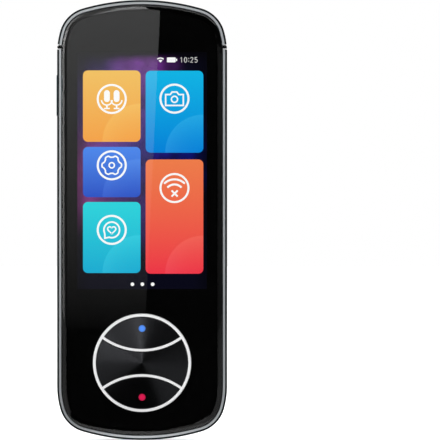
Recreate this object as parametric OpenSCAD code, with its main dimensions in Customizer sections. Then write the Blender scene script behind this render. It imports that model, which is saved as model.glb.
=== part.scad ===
// Handheld translator: a slim slab with round ends, a curved-edge glass over a colour screen,
// a round three-key pad in a bright ring, and a metal case split by an antenna strip.
//
// Every piece is drawn lying on its glass: x to the right, y up the length, z from the glass
// to the back, with z = 0 half-way through. upright() then stands it on its lower end.

/* [Body] */
// Width across the metal case
body_w = 50; // [48:0.5:56]
// Length from the lower end to the upper end
body_l = 129.4; // [126:0.2:145]
// Thickness from the glass face to the flat back
body_t = 12; // [11.6:0.1:14]
// Thickness of the metal wall
wall = 1.2; // [1:0.05:1.4]
// Radius of the tight arc at each corner
corner_r = 9.6; // [9.2:0.1:11]
// Radius of the arc that leads from the corner into the straight side
shoulder_r = 23.6; // [18:0.1:30]
// Radius of the roll-off from the sides to the flat back
roll_r = 8; // [7:0.1:8.6]
// Depth of the metal rim below the glass face
rim_drop = 0.35; // [0.2:0.05:0.6]
// Radius that breaks the rim's outer edge
rim_round = 0.4; // [0.2:0.05:0.8]

/* [Front glass] */
// Thickness of the glass
glass_t = 1; // [0.8:0.05:1.2]
// Gap between the rim's inner wall and the edge of the glass
glass_gap = 0.35; // [0.2:0.05:0.6]
// Width of the curved band along the edge of the glass
edge_w = 1.2; // [0.8:0.05:1.8]
// Height that the curved band falls
edge_drop = 0.35; // [0.2:0.05:0.5]
// Thickness of the adhesive frame under the glass
adhesive_t = 0.15; // [0.1:0.01:0.25]
// Width of the adhesive frame
adhesive_w = 1.3; // [0.8:0.1:1.6]

/* [Screen] */
// Distance from the side of the case to the picture
screen_side = 5.95; // [5.8:0.05:8]
// Distance from the lower end to the picture
screen_foot = 44.4; // [43.5:0.1:50]
// Distance from the picture to the upper end
screen_head = 15.3; // [14.6:0.1:20]
// Plain border of the panel beside the picture
panel_border = 0.55; // [0.4:0.05:0.7]
// Extra length of the panel below the picture, where its driver lies
driver_l = 2.6; // [2:0.1:3]
// Thickness of the liquid crystal panel
panel_t = 1.3; // [1.1:0.05:1.5]
// Thickness of the backlight
backlight_t = 1.75; // [1.6:0.05:1.9]
// Thickness of the screen's ribbon
ribbon_t = 0.15; // [0.1:0.01:0.2]
// Width of the screen's ribbon
ribbon_w = 12; // [8:0.5:16]

/* [Key pad] */
// Height of the key pad's centre above the lower end
pad_y = 22.7; // [21:0.1:23.5]
// Outer radius of the bright ring
pad_r = 14.4; // [13:0.1:15]
// Width of the bright ring
pad_ring_w = 0.8; // [0.7:0.01:1.1]
// Width of the two curved bars
bar_w = 0.76; // [0.65:0.01:1]
// Radius of the bars' centre lines
bar_r = 19.7; // [17:0.1:24]
// Distance from the pad's centre to the middle of each bar
bar_y = 3.7; // [3.2:0.1:4.5]
// Height of the ring above the glass
ring_proud = 0.4; // [0.2:0.05:0.6]
// Depth of the bars below the top of the ring
bar_drop = 0.1; // [0.05:0.01:0.15]
// Height of the keys above the glass
key_proud = 0.1; // [0:0.05:0.15]
// Bevel along the edges of the ring, bars and keys
key_bevel = 0.15; // [0.05:0.01:0.2]
// Gap round each key
key_gap = 0.12; // [0.08:0.01:0.2]
// Travel of a key
key_travel = 0.35; // [0.2:0.05:0.45]
// Thickness of the flange that holds a key behind the ring
key_flange_t = 0.5; // [0.4:0.05:0.6]
// Width by which the flanges reach under the ring
key_flange_w = 1; // [0.8:0.05:1.2]
// Running gap between a key's flange and the ring
flange_gap = 0.1; // [0.05:0.01:0.15]
// Radius of the foot that presses the contact
key_foot_r = 0.8; // [0.6:0.05:1]
// Distance from the pad's centre to the outer keys' feet
foot_y = 7; // [6.6:0.1:7.4]
// Radius of the light dots
light_r = 1; // [0.8:0.05:1.1]
// Distance from the pad's centre to each light dot
light_y = 10.1; // [9.8:0.1:10.6]
// Width of the collar behind a light dot
light_collar = 0.4; // [0.3:0.05:0.5]
// Thickness of the key circuit board
key_board_t = 0.6; // [0.5:0.05:0.7]
// Radius of the key circuit board
key_board_r = 15.4; // [14.9:0.1:15.6]
// Height of a snap dome
dome_h = 0.3; // [0.2:0.05:0.35]
// Radius of a snap dome
dome_r = 2; // [1.6:0.1:2.1]
// Thickness of the rubber sheet over the domes
rubber_t = 0.25; // [0.2:0.05:0.3]

/* [Side button] */
// Length of the side button
button_l = 12; // [9:0.5:13]
// Width of the side button
button_w = 2; // [1.6:0.1:2]
// Distance from the button's centre to the upper end
button_drop = 28; // [26.4:0.2:29.4]
// Height of the button above the side
button_proud = 0.22; // [0.1:0.02:0.4]
// Gap round the button
button_gap = 0.08; // [0.05:0.01:0.12]
// Travel of the button
button_travel = 0.35; // [0.2:0.05:0.4]
// Thickness of the flange that holds the button in
button_flange_t = 0.5; // [0.4:0.05:0.6]
// Width by which the flange reaches past the button
button_flange_w = 0.25; // [0.15:0.05:0.3]
// Radius of the nub that presses the switch
nub_r = 0.6; // [0.4:0.05:0.8]
// Length of the nub
nub_l = 0.45; // [0.3:0.05:0.6]
// Thickness of the sheet steel bracket
bracket_t = 0.3; // [0.2:0.05:0.3]
// Length of the switch
switch_l = 4.2; // [3.5:0.1:5]
// Width of the switch
switch_w = 1.8; // [1.5:0.1:2]

/* [Antenna strip] */
// Distance from the middle of the strip to the upper end
strip_drop = 13.8; // [12.9:0.1:14.4]
// Width of the strip on the back
strip_w = 1.18; // [0.9:0.02:1.4]
// Width of the strip on the sides
slit_w = 0.6; // [0.5:0.02:0.8]
// Bevel of the metal beside the slit
slit_bevel = 0.45; // [0.3:0.05:0.6]
// Width of the side band, seen from the back, in which the strip is narrow
slit_reach = 1.8; // [1.4:0.1:2.4]
// Thickness of the moulded rib that ties the case halves inside
rib_t = 0.6; // [0.4:0.05:0.7]
// Reach of that rib past the edges that it ties
rib_w = 1.8; // [1.2:0.1:2]
// Bonding gap between the strip's curved faces and the metal
bond_gap = 0.02; // [0.01:0.01:0.05]

/* [Camera] */
// Width of the black surround
island_w = 24.65; // [23.8:0.05:26]
// Height of the black surround
island_l = 13.5; // [12.6:0.1:14]
// Corner radius of the black surround
island_r = 5.2; // [4.8:0.1:6]
// Depth of the black floor below the flat back
island_depth = 0.9; // [0.8:0.05:1]
// Width of the black surround outside the bright ring
island_rim = 0.85; // [0.7:0.05:1]
// Width of the bright ring's metal
trim_band = 1.35; // [1:0.05:1.5]
// Height of the bright ring above the flat back
trim_proud = 0.4; // [0.2:0.05:0.6]
// Width of the ring's outer bevel
trim_bevel = 0.35; // [0.2:0.05:0.4]
// Width of the ring's inner bevel
trim_slope = 0.6; // [0.4:0.05:0.7]
// Thickness of the cover glass
window_t = 0.55; // [0.4:0.05:0.6]
// Gap round the cover glass
window_gap = 0.05; // [0.03:0.01:0.1]
// Sideways place of the camera lens
lens_x = 0.25; // [-0.5:0.05:0.5]
// Outer radius of the lens mount's rim
lens_rim_r = 1.95; // [1.8:0.05:2.1]
// Radius of the lens
lens_r = 1.5; // [1.3:0.05:1.6]
// Height of the lens above its seat
lens_h = 0.9; // [0.6:0.1:1]
// Width of the square camera body
camera_w = 6.6; // [6:0.1:7]
// Thickness of the camera body
camera_t = 3; // [2.6:0.1:3.2]
// Distance from the outer end of the bright ring to the flash
flash_in = 4.5; // [4.3:0.05:4.8]
// Radius of the flash lens
flash_r = 1.45; // [1.3:0.05:1.5]
// Radius of the flash's light pipe
flash_pipe_r = 1.1; // [0.8:0.05:1.2]
// Distance from the black surround to the rear microphone
mic_out = 2.5; // [2:0.1:2.7]
// Radius of the round boss over the rear microphone
mic_boss_r = 1.25; // [1.1:0.05:1.4]
// Radius of the microphone holes
mic_hole_r = 0.45; // [0.3:0.05:0.5]

/* [Speaker] */
// Height of the grille's centre above the lower end
grille_y = 19.94; // [19:0.2:21]
// Holes in the middle row
grille_n = 15; // [9:2:15]
// Diameter of a speaker hole
hole_d = 0.85; // [0.6:0.05:1]
// Room between the outermost holes and the gasket
grille_edge = 0.45; // [0.3:0.05:1]
// Distance between the rows
row_pitch = 1.81; // [1.6:0.05:2]
// Distance from the side of the case to the speaker box
speaker_side = 9; // [9:0.1:9.5]
// Height of the speaker box
speaker_l = 9.6; // [9:0.2:10]
// Thickness of the speaker box
speaker_t = 3; // [2.6:0.1:3.2]
// Thickness of the dust mesh
mesh_t = 0.1; // [0.08:0.01:0.15]
// Thickness of the foam gasket
foam_t = 0.4; // [0.3:0.05:0.5]
// Width of the foam gasket
foam_w = 1; // [0.8:0.1:1.2]

/* [Port] */
// Width of the port's shell
port_w = 8.94; // [8.94:0.01:9]
// Height of the port's shell
port_h = 3.26; // [3.2:0.01:3.26]
// Wall of the port's shell
port_wall = 0.3; // [0.25:0.01:0.32]
// Length of the port's shell
port_l = 7.2; // [6.8:0.1:7.6]
// Depth of the port's mouth inside the lower end
port_sink = 0.95; // [0.95:0.05:1.2]
// Gap round the port in the case
port_gap = 0.12; // [0.08:0.01:0.2]
// Width of the contact tongue
tongue_w = 6.69; // [6.6:0.01:6.7]
// Thickness of the contact tongue
tongue_t = 0.7; // [0.6:0.05:0.75]
// Length of the contact tongue
tongue_l = 4.45; // [4.2:0.05:4.6]
// Gap between the port's room and the lower microphone
low_mic_gap = 2; // [1.5:0.1:3]

/* [Inner frame and screws] */
// Gap between the frame and the metal wall
frame_gap = 0.1; // [0.06:0.01:0.15]
// Thickness of the frame's floor
floor_t = 0.8; // [0.6:0.05:0.9]
// Gap round the screen and the keys' parts in the frame
pocket_gap = 0.35; // [0.25:0.05:0.4]
// Distance from the side of the case to the frame screws
screw_side = 3.4; // [3.3:0.05:3.5]
// Distance from the lower end to the first row of frame screws
screw_foot = 30; // [29:0.5:31]
// Distance from the third row of frame screws to the upper end
screw_head = 39.4; // [38.4:0.2:40.4]
// Radius of a screw's shank
shank_r = 0.65; // [0.5:0.05:0.7]
// Radius of a screw's head
head_r = 1.1; // [1:0.05:1.2]
// Height of a screw's head
head_h = 0.6; // [0.5:0.05:0.7]
// Length of a frame screw's shank
shank_l = 3.2; // [2.8:0.1:3.6]
// Gap round a screw
screw_gap = 0.06; // [0.05:0.01:0.1]
// Radius of a screw boss
boss_r = 1.5; // [1.4:0.05:1.6]

/* [Boards and battery] */
// Thickness of the main board and the lower board
board_t = 0.8; // [0.7:0.05:1]
// Height of the posts under the main board
post_h = 1; // [0.9:0.05:1.2]
// Distance from the main board to the upper end
board_head = 6; // [5.4:0.1:6.2]
// Length of the main board
board_l = 31.6; // [30.4:0.1:31.8]
// Distance from the side of the case to the main board and the lower board
board_side = 6; // [5.6:0.1:6.5]
// Height of the shield cans
can_h = 1.5; // [1.2:0.1:1.8]
// Sheet thickness of the shield cans
can_t = 0.2; // [0.15:0.05:0.3]
// Lower edge of the lower board
low_board_y0 = 4.4; // [4.3:0.1:4.6]
// Upper edge of the lower board
low_board_y1 = 12.8; // [12.4:0.1:13]
// Distance of the lower board's edge from the body's outline
low_board_inset = 3.3; // [3.1:0.1:3.6]
// Distance from the side of the case to the battery, beside the button
battery_left = 7; // [6.6:0.2:9]
// Distance from the battery to the other side of the case, with the ribbon between them
battery_right = 9; // [8.6:0.2:11]
// Height of the battery's lower edge above the lower end
battery_y = 28; // [27.5:0.5:32]
// Room between the battery and the main board
battery_gap = 5.8; // [5.2:0.2:10]
// Thickness of the battery
battery_t = 5; // [4:0.1:5.1]
// Corner radius of the battery's long edges
battery_r = 1.4; // [1:0.1:1.8]
// Thickness of the battery's adhesive
tape_t = 0.1; // [0.08:0.01:0.15]
// Width of the ribbon beside the battery
link_w = 1.8; // [1.4:0.1:2]

/* [Hidden] */

// Overrun of every cutting shape
cut = 0.5;
// Smooth circles
$fn = 96;

// Places along the length, from the two ends
strip_y = body_l - strip_drop;
screen_l = body_l - screen_foot - screen_head;
screen_y = screen_foot + screen_l / 2;
button_y = body_l - button_drop;
screw_ys = [screw_foot, (screw_foot + body_l - screw_head) / 2, body_l - screw_head];
board_y1 = body_l - board_head;
board_y0 = board_y1 - board_l;
battery_l = board_y0 - battery_gap - battery_y;

// Places and sizes across the width, from the two sides
half_w = body_w / 2;
screen_w = body_w - 2 * screen_side;
screw_x = half_w - screw_side;
board_x = half_w - board_side;
battery_x0 = battery_left - half_w;
battery_w = body_w - battery_left - battery_right;
speaker_w = body_w - 2 * speaker_side;
hole_pitch = (speaker_w - 2 * (foam_w + grille_edge / 2) - hole_d) / (grille_n - 1);

// The bright ring follows the black surround, and the flash and the microphone follow them
trim_w = island_w - 2 * island_rim;
trim_l = island_l - 2 * island_rim;
trim_r = island_r - island_rim;
flash_x = trim_w / 2 - flash_in;
mic_x = island_w / 2 + mic_out;

// Depth levels, from the glass to the back
z_face = -body_t / 2;
z_back = body_t / 2;
z_rim = z_face + rim_drop;
z_glass = z_face + glass_t;
z_frame = z_glass + adhesive_t;
z_floor = z_frame + panel_t + backlight_t;
z_plate = z_floor + floor_t;
z_inner = z_back - wall;
z_board = z_plate + post_h;
z_board_back = z_board + board_t;
z_low_board = port_h / 2;
z_island = z_back - island_depth;
z_island_in = z_inner - rib_t;
z_mesh = z_inner - mesh_t;
z_foam = z_mesh - foam_t;

// The outline: a crown arc across each end, a tight corner arc and a shoulder arc.
// The crown meets the corner, and the corner the shoulder, along two directions taken from
// the 7-24-25 triangle, 16.26 degrees off the length and off the width.
crown_dir = [7, -24] / 25;
shoulder_dir = [24, -7] / 25;
corner_x = half_w - corner_r - (shoulder_r - corner_r) * (1 - shoulder_dir[0]);
crown_r = corner_r + corner_x / crown_dir[0];
crown_c = [0, crown_r];
corner_c = crown_c + (crown_r - corner_r) * crown_dir;
shoulder_c = corner_c - (shoulder_r - corner_r) * shoulder_dir;
// Distance from each end at which the straight side starts
shoulder_l = shoulder_c[1];

// Half the width of the body beside the strip
strip_rise = max(0, strip_y - (body_l - shoulder_l));
strip_half = shoulder_c[0] + sqrt(pow(shoulder_r, 2) - pow(strip_rise, 2));
// Angle of the roll-off at which the strip widens
slit_a = acos((roll_r - slit_reach) / roll_r);
z_roll = z_back - roll_r;
z_widen = z_roll + roll_r * sin(slit_a);

// ---------------------------------------------------------------- helpers

// Stands a lying piece up: its length becomes the height, its depth runs to the back
module upright() {
    rotate([90, 0, 0]) mirror([0, 0, 1]) children();
}

// Turns a section drawn in x and z into a bar along y
module along_y(length) {
    rotate([90, 0, 0]) mirror([0, 0, 1]) linear_extrude(length) children();
}

// A box between two corners
module block(low, high) {
    translate(low) cube(high - low);
}

// A round bar along the depth
module peg(x, y, z0, z1, r) {
    translate([x, y, z0]) cylinder(r = r, h = z1 - z0);
}

// A section carried round one arc, between two directions from its centre;
// the section reads its outer edge in $edge
module arc_sweep(centre, $edge, from, to) {
    reach = 2 * $edge;
    translate([centre[0], centre[1], 0]) intersection() {
        rotate_extrude() children();
        translate([0, 0, -body_t]) linear_extrude(2 * body_t)
            polygon([[0, 0], reach * from, reach * (from + to), reach * to]);
    }
}

// A section carried round one end of the body
module end_sweep() {
    arc_sweep(crown_c, crown_r, [-crown_dir[0], crown_dir[1]], crown_dir) children();
    for (side = [0, 1]) mirror([side, 0, 0]) {
        arc_sweep(corner_c, corner_r, crown_dir, shoulder_dir) children();
        arc_sweep(shoulder_c, shoulder_r, shoulder_dir, [1, 0]) children();
    }
}

// A half section with its edge at $edge, mirrored to both sides
module straight_sweep($edge, length) {
    along_y(length) for (side = [0, 1]) mirror([side, 0]) children();
}

// A section carried round the whole outline of the body
module body_sweep() {
    end_sweep() children();
    translate([0, body_l, 0]) mirror([0, 1, 0]) end_sweep() children();
    translate([0, shoulder_l, 0]) straight_sweep(half_w, body_l - 2 * shoulder_l) children();
}

// A plate of the body's outline, drawn in by inset
module outline_plate(inset, z0, z1) {
    body_sweep() translate([0, z0]) square([$edge - inset, z1 - z0]);
}

// A flat band of a given width along the body's outline, drawn in by inset
module outline_band(inset, width, z0, z1) {
    body_sweep() translate([$edge - inset - width, z0]) square([width, z1 - z0]);
}

// A rectangle with round corners, as true arcs
module round_rect(w, l, r) {
    square([w - 2 * r, l], center = true);
    square([w, l - 2 * r], center = true);
    for (x = [-1, 1], y = [-1, 1]) translate([x * (w / 2 - r), y * (l / 2 - r)]) circle(r = r);
}

// A slot shape along y
module slot_shape(w, l) {
    square([w, l - w], center = true);
    for (y = [-1, 1]) translate([0, y * (l - w) / 2]) circle(d = w);
}

// A plate with round corners between two levels
module round_plate(w, l, r, z0, z1) {
    translate([0, 0, z0]) linear_extrude(z1 - z0) round_rect(w, l, r);
}

// A section carried round a rectangle with round corners
module rect_sweep(w, l, r) {
    for (turn = [0, 1]) rotate([0, 0, 180 * turn]) {
        arc_sweep([w / 2 - r, l / 2 - r], r, [1, 0], [0, 1]) children();
        arc_sweep([w / 2 - r, r - l / 2], r, [0, -1], [1, 0]) children();
        translate([w / 2 - r, r - l / 2, 0]) along_y(l - 2 * r) edge_at(r) children();
        translate([r - w / 2, l / 2 - r, 0]) rotate([0, 0, 90]) mirror([0, 1, 0])
            along_y(w - 2 * r) edge_at(r) children();
    }
}

// Draws a section whose outer edge lies at $edge
module edge_at($edge) {
    children();
}

// ---------------------------------------------------------------- metal case

// Section of the body from a front level to the back, drawn in by inset
module body_section(inset, front) {
    translate([0, front]) square([$edge - roll_r, z_back - inset - front]);
    translate([0, front]) square([$edge - inset, z_roll - front]);
    translate([$edge - roll_r, z_roll]) intersection() {
        circle(r = roll_r - inset);
        square(roll_r);
    }
}

// Section of the outer form, with the rim's edge rounded
module outer_section() {
    body_section(0, z_rim + rim_round);
    translate([0, z_rim]) square([$edge - rim_round, rim_round]);
    translate([$edge - rim_round, z_rim + rim_round]) intersection() {
        circle(r = rim_round);
        translate([0, -rim_round]) square(rim_round);
    }
}

// The case as one hollow tray, before the strip divides it
module case_shell() {
    body_sweep() difference() {
        outer_section();
        body_section(wall, z_rim - cut);
    }
}

// The space that the strip takes: narrow on the sides, wide on the back
module strip_space(grow) {
    translate([-half_w - cut, strip_y - slit_w / 2 - grow, z_rim - cut])
        cube([body_w + 2 * cut, slit_w + 2 * grow, body_t + 2 * cut]);
    translate([-half_w - cut, strip_y - strip_w / 2 - grow, z_widen])
        cube([body_w + 2 * cut, strip_w + 2 * grow, body_t]);
}

// Section of the groove that bevels the metal on both sides of the slit; x = 0 is the surface
module groove_section() {
    h = slit_w / 2;
    g = slit_bevel + cut;
    polygon([[-slit_bevel, -h], [-slit_bevel, h], [cut, h + g], [cut, -h - g]]);
}

// The groove round one side of the case, from the rim to the roll-off
module side_groove() {
    translate([strip_half, strip_y, z_rim - cut]) linear_extrude(z_roll - z_rim + cut) groove_section();
    translate([strip_half - wall - cut, strip_y, z_rim]) rotate([0, 90, 0])
        linear_extrude(wall + 2 * cut) groove_section();
    translate([strip_half - roll_r, strip_y, z_roll]) rotate([90, 0, 0]) mirror([0, 0, 1])
        rotate_extrude(angle = slit_a) translate([roll_r, 0]) groove_section();
}

// What both metal pieces leave free for the strip, the camera surround and the microphone boss
module strip_cuts() {
    strip_space(0);
    for (side = [0, 1]) mirror([side, 0, 0]) side_groove();
    translate([0, strip_y, 0]) round_plate(island_w, island_l, island_r, z_island_in - cut, z_back + cut);
    peg(mic_x, strip_y, z_inner - cut, z_back + cut, mic_boss_r);
}

// Runs its children for each speaker hole
module each_speaker_hole() {
    for (row = [-1, 0, 1]) {
        n = grille_n - abs(row);
        for (i = [0 : n - 1]) translate([(i - (n - 1) / 2) * hole_pitch, grille_y + row * row_pitch, 0])
            children();
    }
}

// Opening of the port, through the lower wall
module port_opening(grow, y0, y1) {
    translate([0, y0, 0]) along_y(y1 - y0) rotate(90) slot_shape(port_h + 2 * grow, port_w + 2 * grow);
}

// Depth level of the side button, half-way between the glass adhesive and the roll-off
z_button = (z_frame + z_roll) / 2;

// Shape of the side button, through the wall on the left
module button_bar(grow, x0, x1) {
    translate([x0, button_y, z_button]) rotate([0, 90, 0])
        linear_extrude(x1 - x0) slot_shape(button_w + 2 * grow, button_l + 2 * grow);
}

// Size of a microphone and the wall of its rubber boot
mic_w = 3;
mic_t = 1;
boot_wall = 0.8;
// Room that the port and its board take from the frame
port_room = 1;
// Place of the lower microphone, its height on the board and the seat of its boot in the case
low_mic_x = port_w / 2 + port_room + mic_w / 2 + low_mic_gap;
low_mic_y0 = low_board_y0 + bond_gap;
low_mic_h = 2.2;
boot_seat_y = 1.95;

module rear_cover() {
    color("slategray") upright() difference() {
        union() {
            difference() {
                case_shell();
                translate([-half_w - cut, strip_y, z_face - cut]) cube([body_w + 2 * cut, body_l, body_t + 2 * cut]);
            }
            intersection() {
                body_sweep() body_section(wall / 2, z_frame);
                for (x = [-1, 1], y = screw_ys) peg(x * screw_x, y, z_plate, z_back, boss_r);
            }
        }
        strip_cuts();
        for (x = [-1, 1], y = screw_ys)
            peg(x * screw_x, y, z_plate - cut, z_floor + shank_l + floor_t, shank_r + screw_gap);
        each_speaker_hole() translate([0, 0, z_inner - cut]) cylinder(d = hole_d, h = wall + 2 * cut);
        port_opening(port_gap, -cut, wall + cut + port_sink);
        translate([low_mic_x, -cut, 0]) rotate([-90, 0, 0]) cylinder(r = mic_hole_r, h = low_mic_y0 + cut);
        translate([low_mic_x, boot_seat_y, 0]) rotate([-90, 0, 0])
            cylinder(r = mic_hole_r + boot_wall + bond_gap, h = low_mic_y0 - boot_seat_y);
        button_bar(button_gap, -half_w - cut, -half_w + wall + cut);
    }
}

module top_cap() {
    color("slategray") upright() difference() {
        case_shell();
        translate([-half_w - cut, -cut, z_face - cut]) cube([body_w + 2 * cut, strip_y + cut, body_t + 2 * cut]);
        strip_cuts();
    }
}

// ---------------------------------------------------------------- antenna strip and camera

// Front of the lens mount, just behind the cover glass
z_lens = z_island - window_gap;
// Step in the strip on which the flash lens sits
z_flash_seat = z_island_in + rib_t / 2;
// Size of the flash lamp
lamp_w = 2;
lamp_h = 0.7;

// The part of the strip that fills the cut through the metal wall
module strip_fill() {
    intersection() {
        case_shell();
        strip_space(0);
    }
    translate([0, strip_y, 0])
        round_plate(island_w - 2 * bond_gap, island_l - 2 * bond_gap, island_r, z_island_in, z_back);
    peg(mic_x, strip_y, z_inner - rib_t, z_back, mic_boss_r - bond_gap);
}

// The rib that bonds the metal pieces from inside
module strip_rib() {
    reach = strip_w / 2 + rib_w;
    intersection() {
        body_sweep() body_section(wall + bond_gap, z_frame);
        union() {
            difference() {
                block([-half_w, strip_y - reach, z_plate + frame_gap], [half_w, strip_y + reach, z_back]);
                body_sweep() body_section(wall + rib_t, z_frame);
            }
            translate([0, strip_y, 0])
                round_plate(island_w + rib_w, island_l + rib_w, island_r + rib_w / 2, z_island_in, z_back);
        }
    }
}

module antenna_strip() {
    color("black") upright() difference() {
        union() {
            strip_fill();
            strip_rib();
        }
        translate([0, strip_y, 0]) round_plate(trim_w + 2 * window_gap, trim_l + 2 * window_gap,
            trim_r + window_gap, z_island, z_back + cut);
        peg(lens_x, strip_y, z_island_in - cut, z_island + cut, lens_rim_r + window_gap);
        peg(flash_x, strip_y, z_flash_seat, z_island + cut, flash_r + window_gap);
        peg(flash_x, strip_y, z_island_in - cut, z_island, flash_pipe_r + window_gap);
        peg(mic_x, strip_y, z_island_in - cut, z_back + cut, mic_hole_r);
    }
}

module camera_ring() {
    color("silver") upright() translate([0, strip_y, 0]) rect_sweep(trim_w, trim_l, trim_r)
        translate([$edge, 0]) polygon([
            [0, z_island], [0, z_back + trim_proud - trim_bevel], [-trim_bevel, z_back + trim_proud],
            [trim_slope - trim_band, z_back + trim_proud], [-trim_band, z_back - trim_bevel / 2],
            [-trim_band, z_island]
        ]);
}

module camera_window() {
    shrink = 2 * (trim_band + window_gap);
    color("lightblue", 0.4) upright() translate([0, strip_y, 0])
        round_plate(trim_w - shrink, trim_l - shrink, trim_r - shrink / 2, z_island, z_island + window_t);
}

module lens_mount() {
    color("gray") upright() difference() {
        peg(lens_x, strip_y, z_board_back + camera_t, z_lens, lens_rim_r);
        peg(lens_x, strip_y, z_lens - lens_h, z_lens + cut, lens_r + window_gap);
        peg(lens_x, strip_y, z_board_back + camera_t - cut, z_lens, lens_r / 2);
    }
}

module camera_lens() {
    dome_rise = lens_h / 2;
    sphere_r = (pow(lens_r, 2) + pow(dome_rise, 2)) / (2 * dome_rise);
    color("darkred") upright() intersection() {
        peg(lens_x, strip_y, z_lens - lens_h, z_lens - window_gap, lens_r);
        translate([lens_x, strip_y, z_lens - window_gap - sphere_r]) sphere(r = sphere_r);
    }
}

module camera_module() {
    color("dimgray") upright()
        translate([lens_x, strip_y, z_board_back]) linear_extrude(camera_t) square(camera_w, center = true);
}

module flash_lens() {
    color("ivory") upright() {
        peg(flash_x, strip_y, z_flash_seat, z_lens, flash_r);
        peg(flash_x, strip_y, z_board_back + lamp_h + window_gap, z_flash_seat, flash_pipe_r);
    }
}

module flash_lamp() {
    color("gold") upright()
        translate([flash_x, strip_y, z_board_back]) linear_extrude(lamp_h) square(lamp_w, center = true);
}

module rear_microphone() {
    color("gold") upright()
        translate([mic_x, strip_y, z_board_back]) linear_extrude(mic_t) square(mic_w, center = true);
}

module rear_mic_boot() {
    color("darkslategray") upright() difference() {
        peg(mic_x, strip_y, z_board_back + mic_t, z_island_in, mic_hole_r + boot_wall);
        peg(mic_x, strip_y, z_board_back, z_inner, mic_hole_r);
    }
}

// ---------------------------------------------------------------- glass and screen

glass_inset = wall + glass_gap;

// Section of the glass, whose face falls along an arc at the edge
module glass_section() {
    edge = $edge - glass_inset;
    fall_r = (pow(edge_w, 2) + pow(edge_drop, 2)) / (2 * edge_drop);
    translate([0, z_face]) square([edge - edge_w, glass_t]);
    intersection() {
        translate([edge - edge_w, z_face + fall_r]) circle(r = fall_r);
        translate([edge - edge_w, z_face]) square([edge_w, glass_t]);
    }
}

module front_glass() {
    color("black", 0.8) upright() difference() {
        body_sweep() glass_section();
        peg(0, pad_y, z_face - cut, z_glass + cut, pad_r + window_gap);
    }
}

module glass_adhesive() {
    color("dimgray") upright() outline_band(glass_inset + frame_gap, adhesive_w, z_glass, z_frame);
}

panel_w = screen_w + 2 * panel_border;
panel_y0 = screen_y - screen_l / 2 - driver_l;
panel_y1 = screen_y + screen_l / 2 + panel_border;

module display_panel() {
    color("midnightblue") upright()
        block([-panel_w / 2, panel_y0, z_frame], [panel_w / 2, panel_y1, z_frame + panel_t]);
}

module display_backlight() {
    color("whitesmoke") upright()
        block([-panel_w / 2, panel_y0, z_frame + panel_t], [panel_w / 2, panel_y1, z_floor]);
}

// Space above the screen in the frame, where the ribbon turns to the board
ribbon_room = 1.2;
// Size of the sockets that take a ribbon
socket_l = 2.4;
socket_h = 0.6;
ribbon_y0 = panel_y1 - 2 * socket_l;

// The screen's ribbon leaves the panel's upper edge and folds back to the board
module display_ribbon() {
    z_tail = z_board - socket_h - ribbon_t;
    color("darkorange") upright() {
        block([-ribbon_w / 2, panel_y1, z_frame + ribbon_t],
            [ribbon_w / 2, panel_y1 + ribbon_t, z_tail + ribbon_t]);
        block([-ribbon_w / 2, ribbon_y0, z_tail], [ribbon_w / 2, panel_y1 + ribbon_t, z_tail + ribbon_t]);
    }
}

// ---------------------------------------------------------------- key pad

pad_inner_r = pad_r - pad_ring_w;
bar_c = bar_y + bar_r;
z_ring = z_face - ring_proud;
z_key = z_face - key_proud;
z_ring_flange = z_glass + bond_gap;
ring_flange_t = 0.38;
z_key_flange = z_ring_flange + ring_flange_t + flange_gap;
z_key_back = z_key_flange + key_flange_t;
z_key_board = z_floor - key_board_t;
z_rubber = z_key_board - dome_h - rubber_t;
z_foot = z_rubber - key_travel - flange_gap / 2;

// A disc whose front edge is bevelled: grow is 1 where the disc narrows to the front, -1 where it widens
module bevel_disc(y, r, z0, z1, grow) {
    translate([0, pad_y + y, z0]) cylinder(r1 = r - grow * key_bevel, r2 = r, h = key_bevel);
    translate([0, pad_y + y, z0 + key_bevel]) cylinder(r = r, h = z1 - z0 - key_bevel);
}

// The bright ring and its two bars, one polished piece
module key_ring() {
    z_end = z_ring_flange + ring_flange_t;
    z_bar = z_ring + bar_drop;
    color("white") upright() {
        translate([0, pad_y, 0]) rotate_extrude() polygon([
            [pad_inner_r, z_end], [pad_inner_r, z_ring + key_bevel], [pad_inner_r + key_bevel, z_ring],
            [pad_r - key_bevel, z_ring], [pad_r, z_ring + key_bevel], [pad_r, z_ring_flange],
            [pad_r + key_flange_w, z_ring_flange], [pad_r + key_flange_w, z_end]
        ]);
        for (side = [-1, 1]) intersection() {
            peg(0, pad_y, z_ring, z_end, pad_r - pad_ring_w / 2);
            difference() {
                bevel_disc(side * bar_c, bar_r + bar_w / 2, z_bar, z_end, 1);
                bevel_disc(side * bar_c, bar_r - bar_w / 2, z_bar, z_end, -1);
                peg(0, pad_y + side * bar_c, z_ring - cut, z_bar, bar_r + bar_w);
                peg(0, pad_y + side * bar_c, z_end - cut, z_end + cut, bar_r - bar_w / 2);
            }
        }
    }
}

// The visible part of an outer key, on the side of the pad that side names
module outer_key_face(side) {
    intersection() {
        bevel_disc(0, pad_inner_r - key_gap, z_key, z_key_flange, 1);
        bevel_disc(side * bar_c, bar_r - bar_w / 2 - key_gap, z_key, z_key_flange, 1);
    }
}

// An outer key: face, flange and foot, with a hole for its light
module outer_key(side) {
    difference() {
        union() {
            outer_key_face(side);
            intersection() {
                peg(0, pad_y, z_key_flange, z_key_back, pad_inner_r + key_flange_w);
                peg(0, pad_y + side * bar_c, z_key_flange, z_key_back, bar_r - key_gap);
            }
            peg(0, pad_y + side * foot_y, z_key_back, z_foot, key_foot_r);
        }
        peg(0, pad_y + side * light_y, z_key - cut, z_key_back + cut, light_r + bond_gap);
    }
}

module upper_key() {
    color("dimgray") upright() outer_key(1);
}

module lower_key() {
    color("dimgray") upright() outer_key(-1);
}

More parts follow.
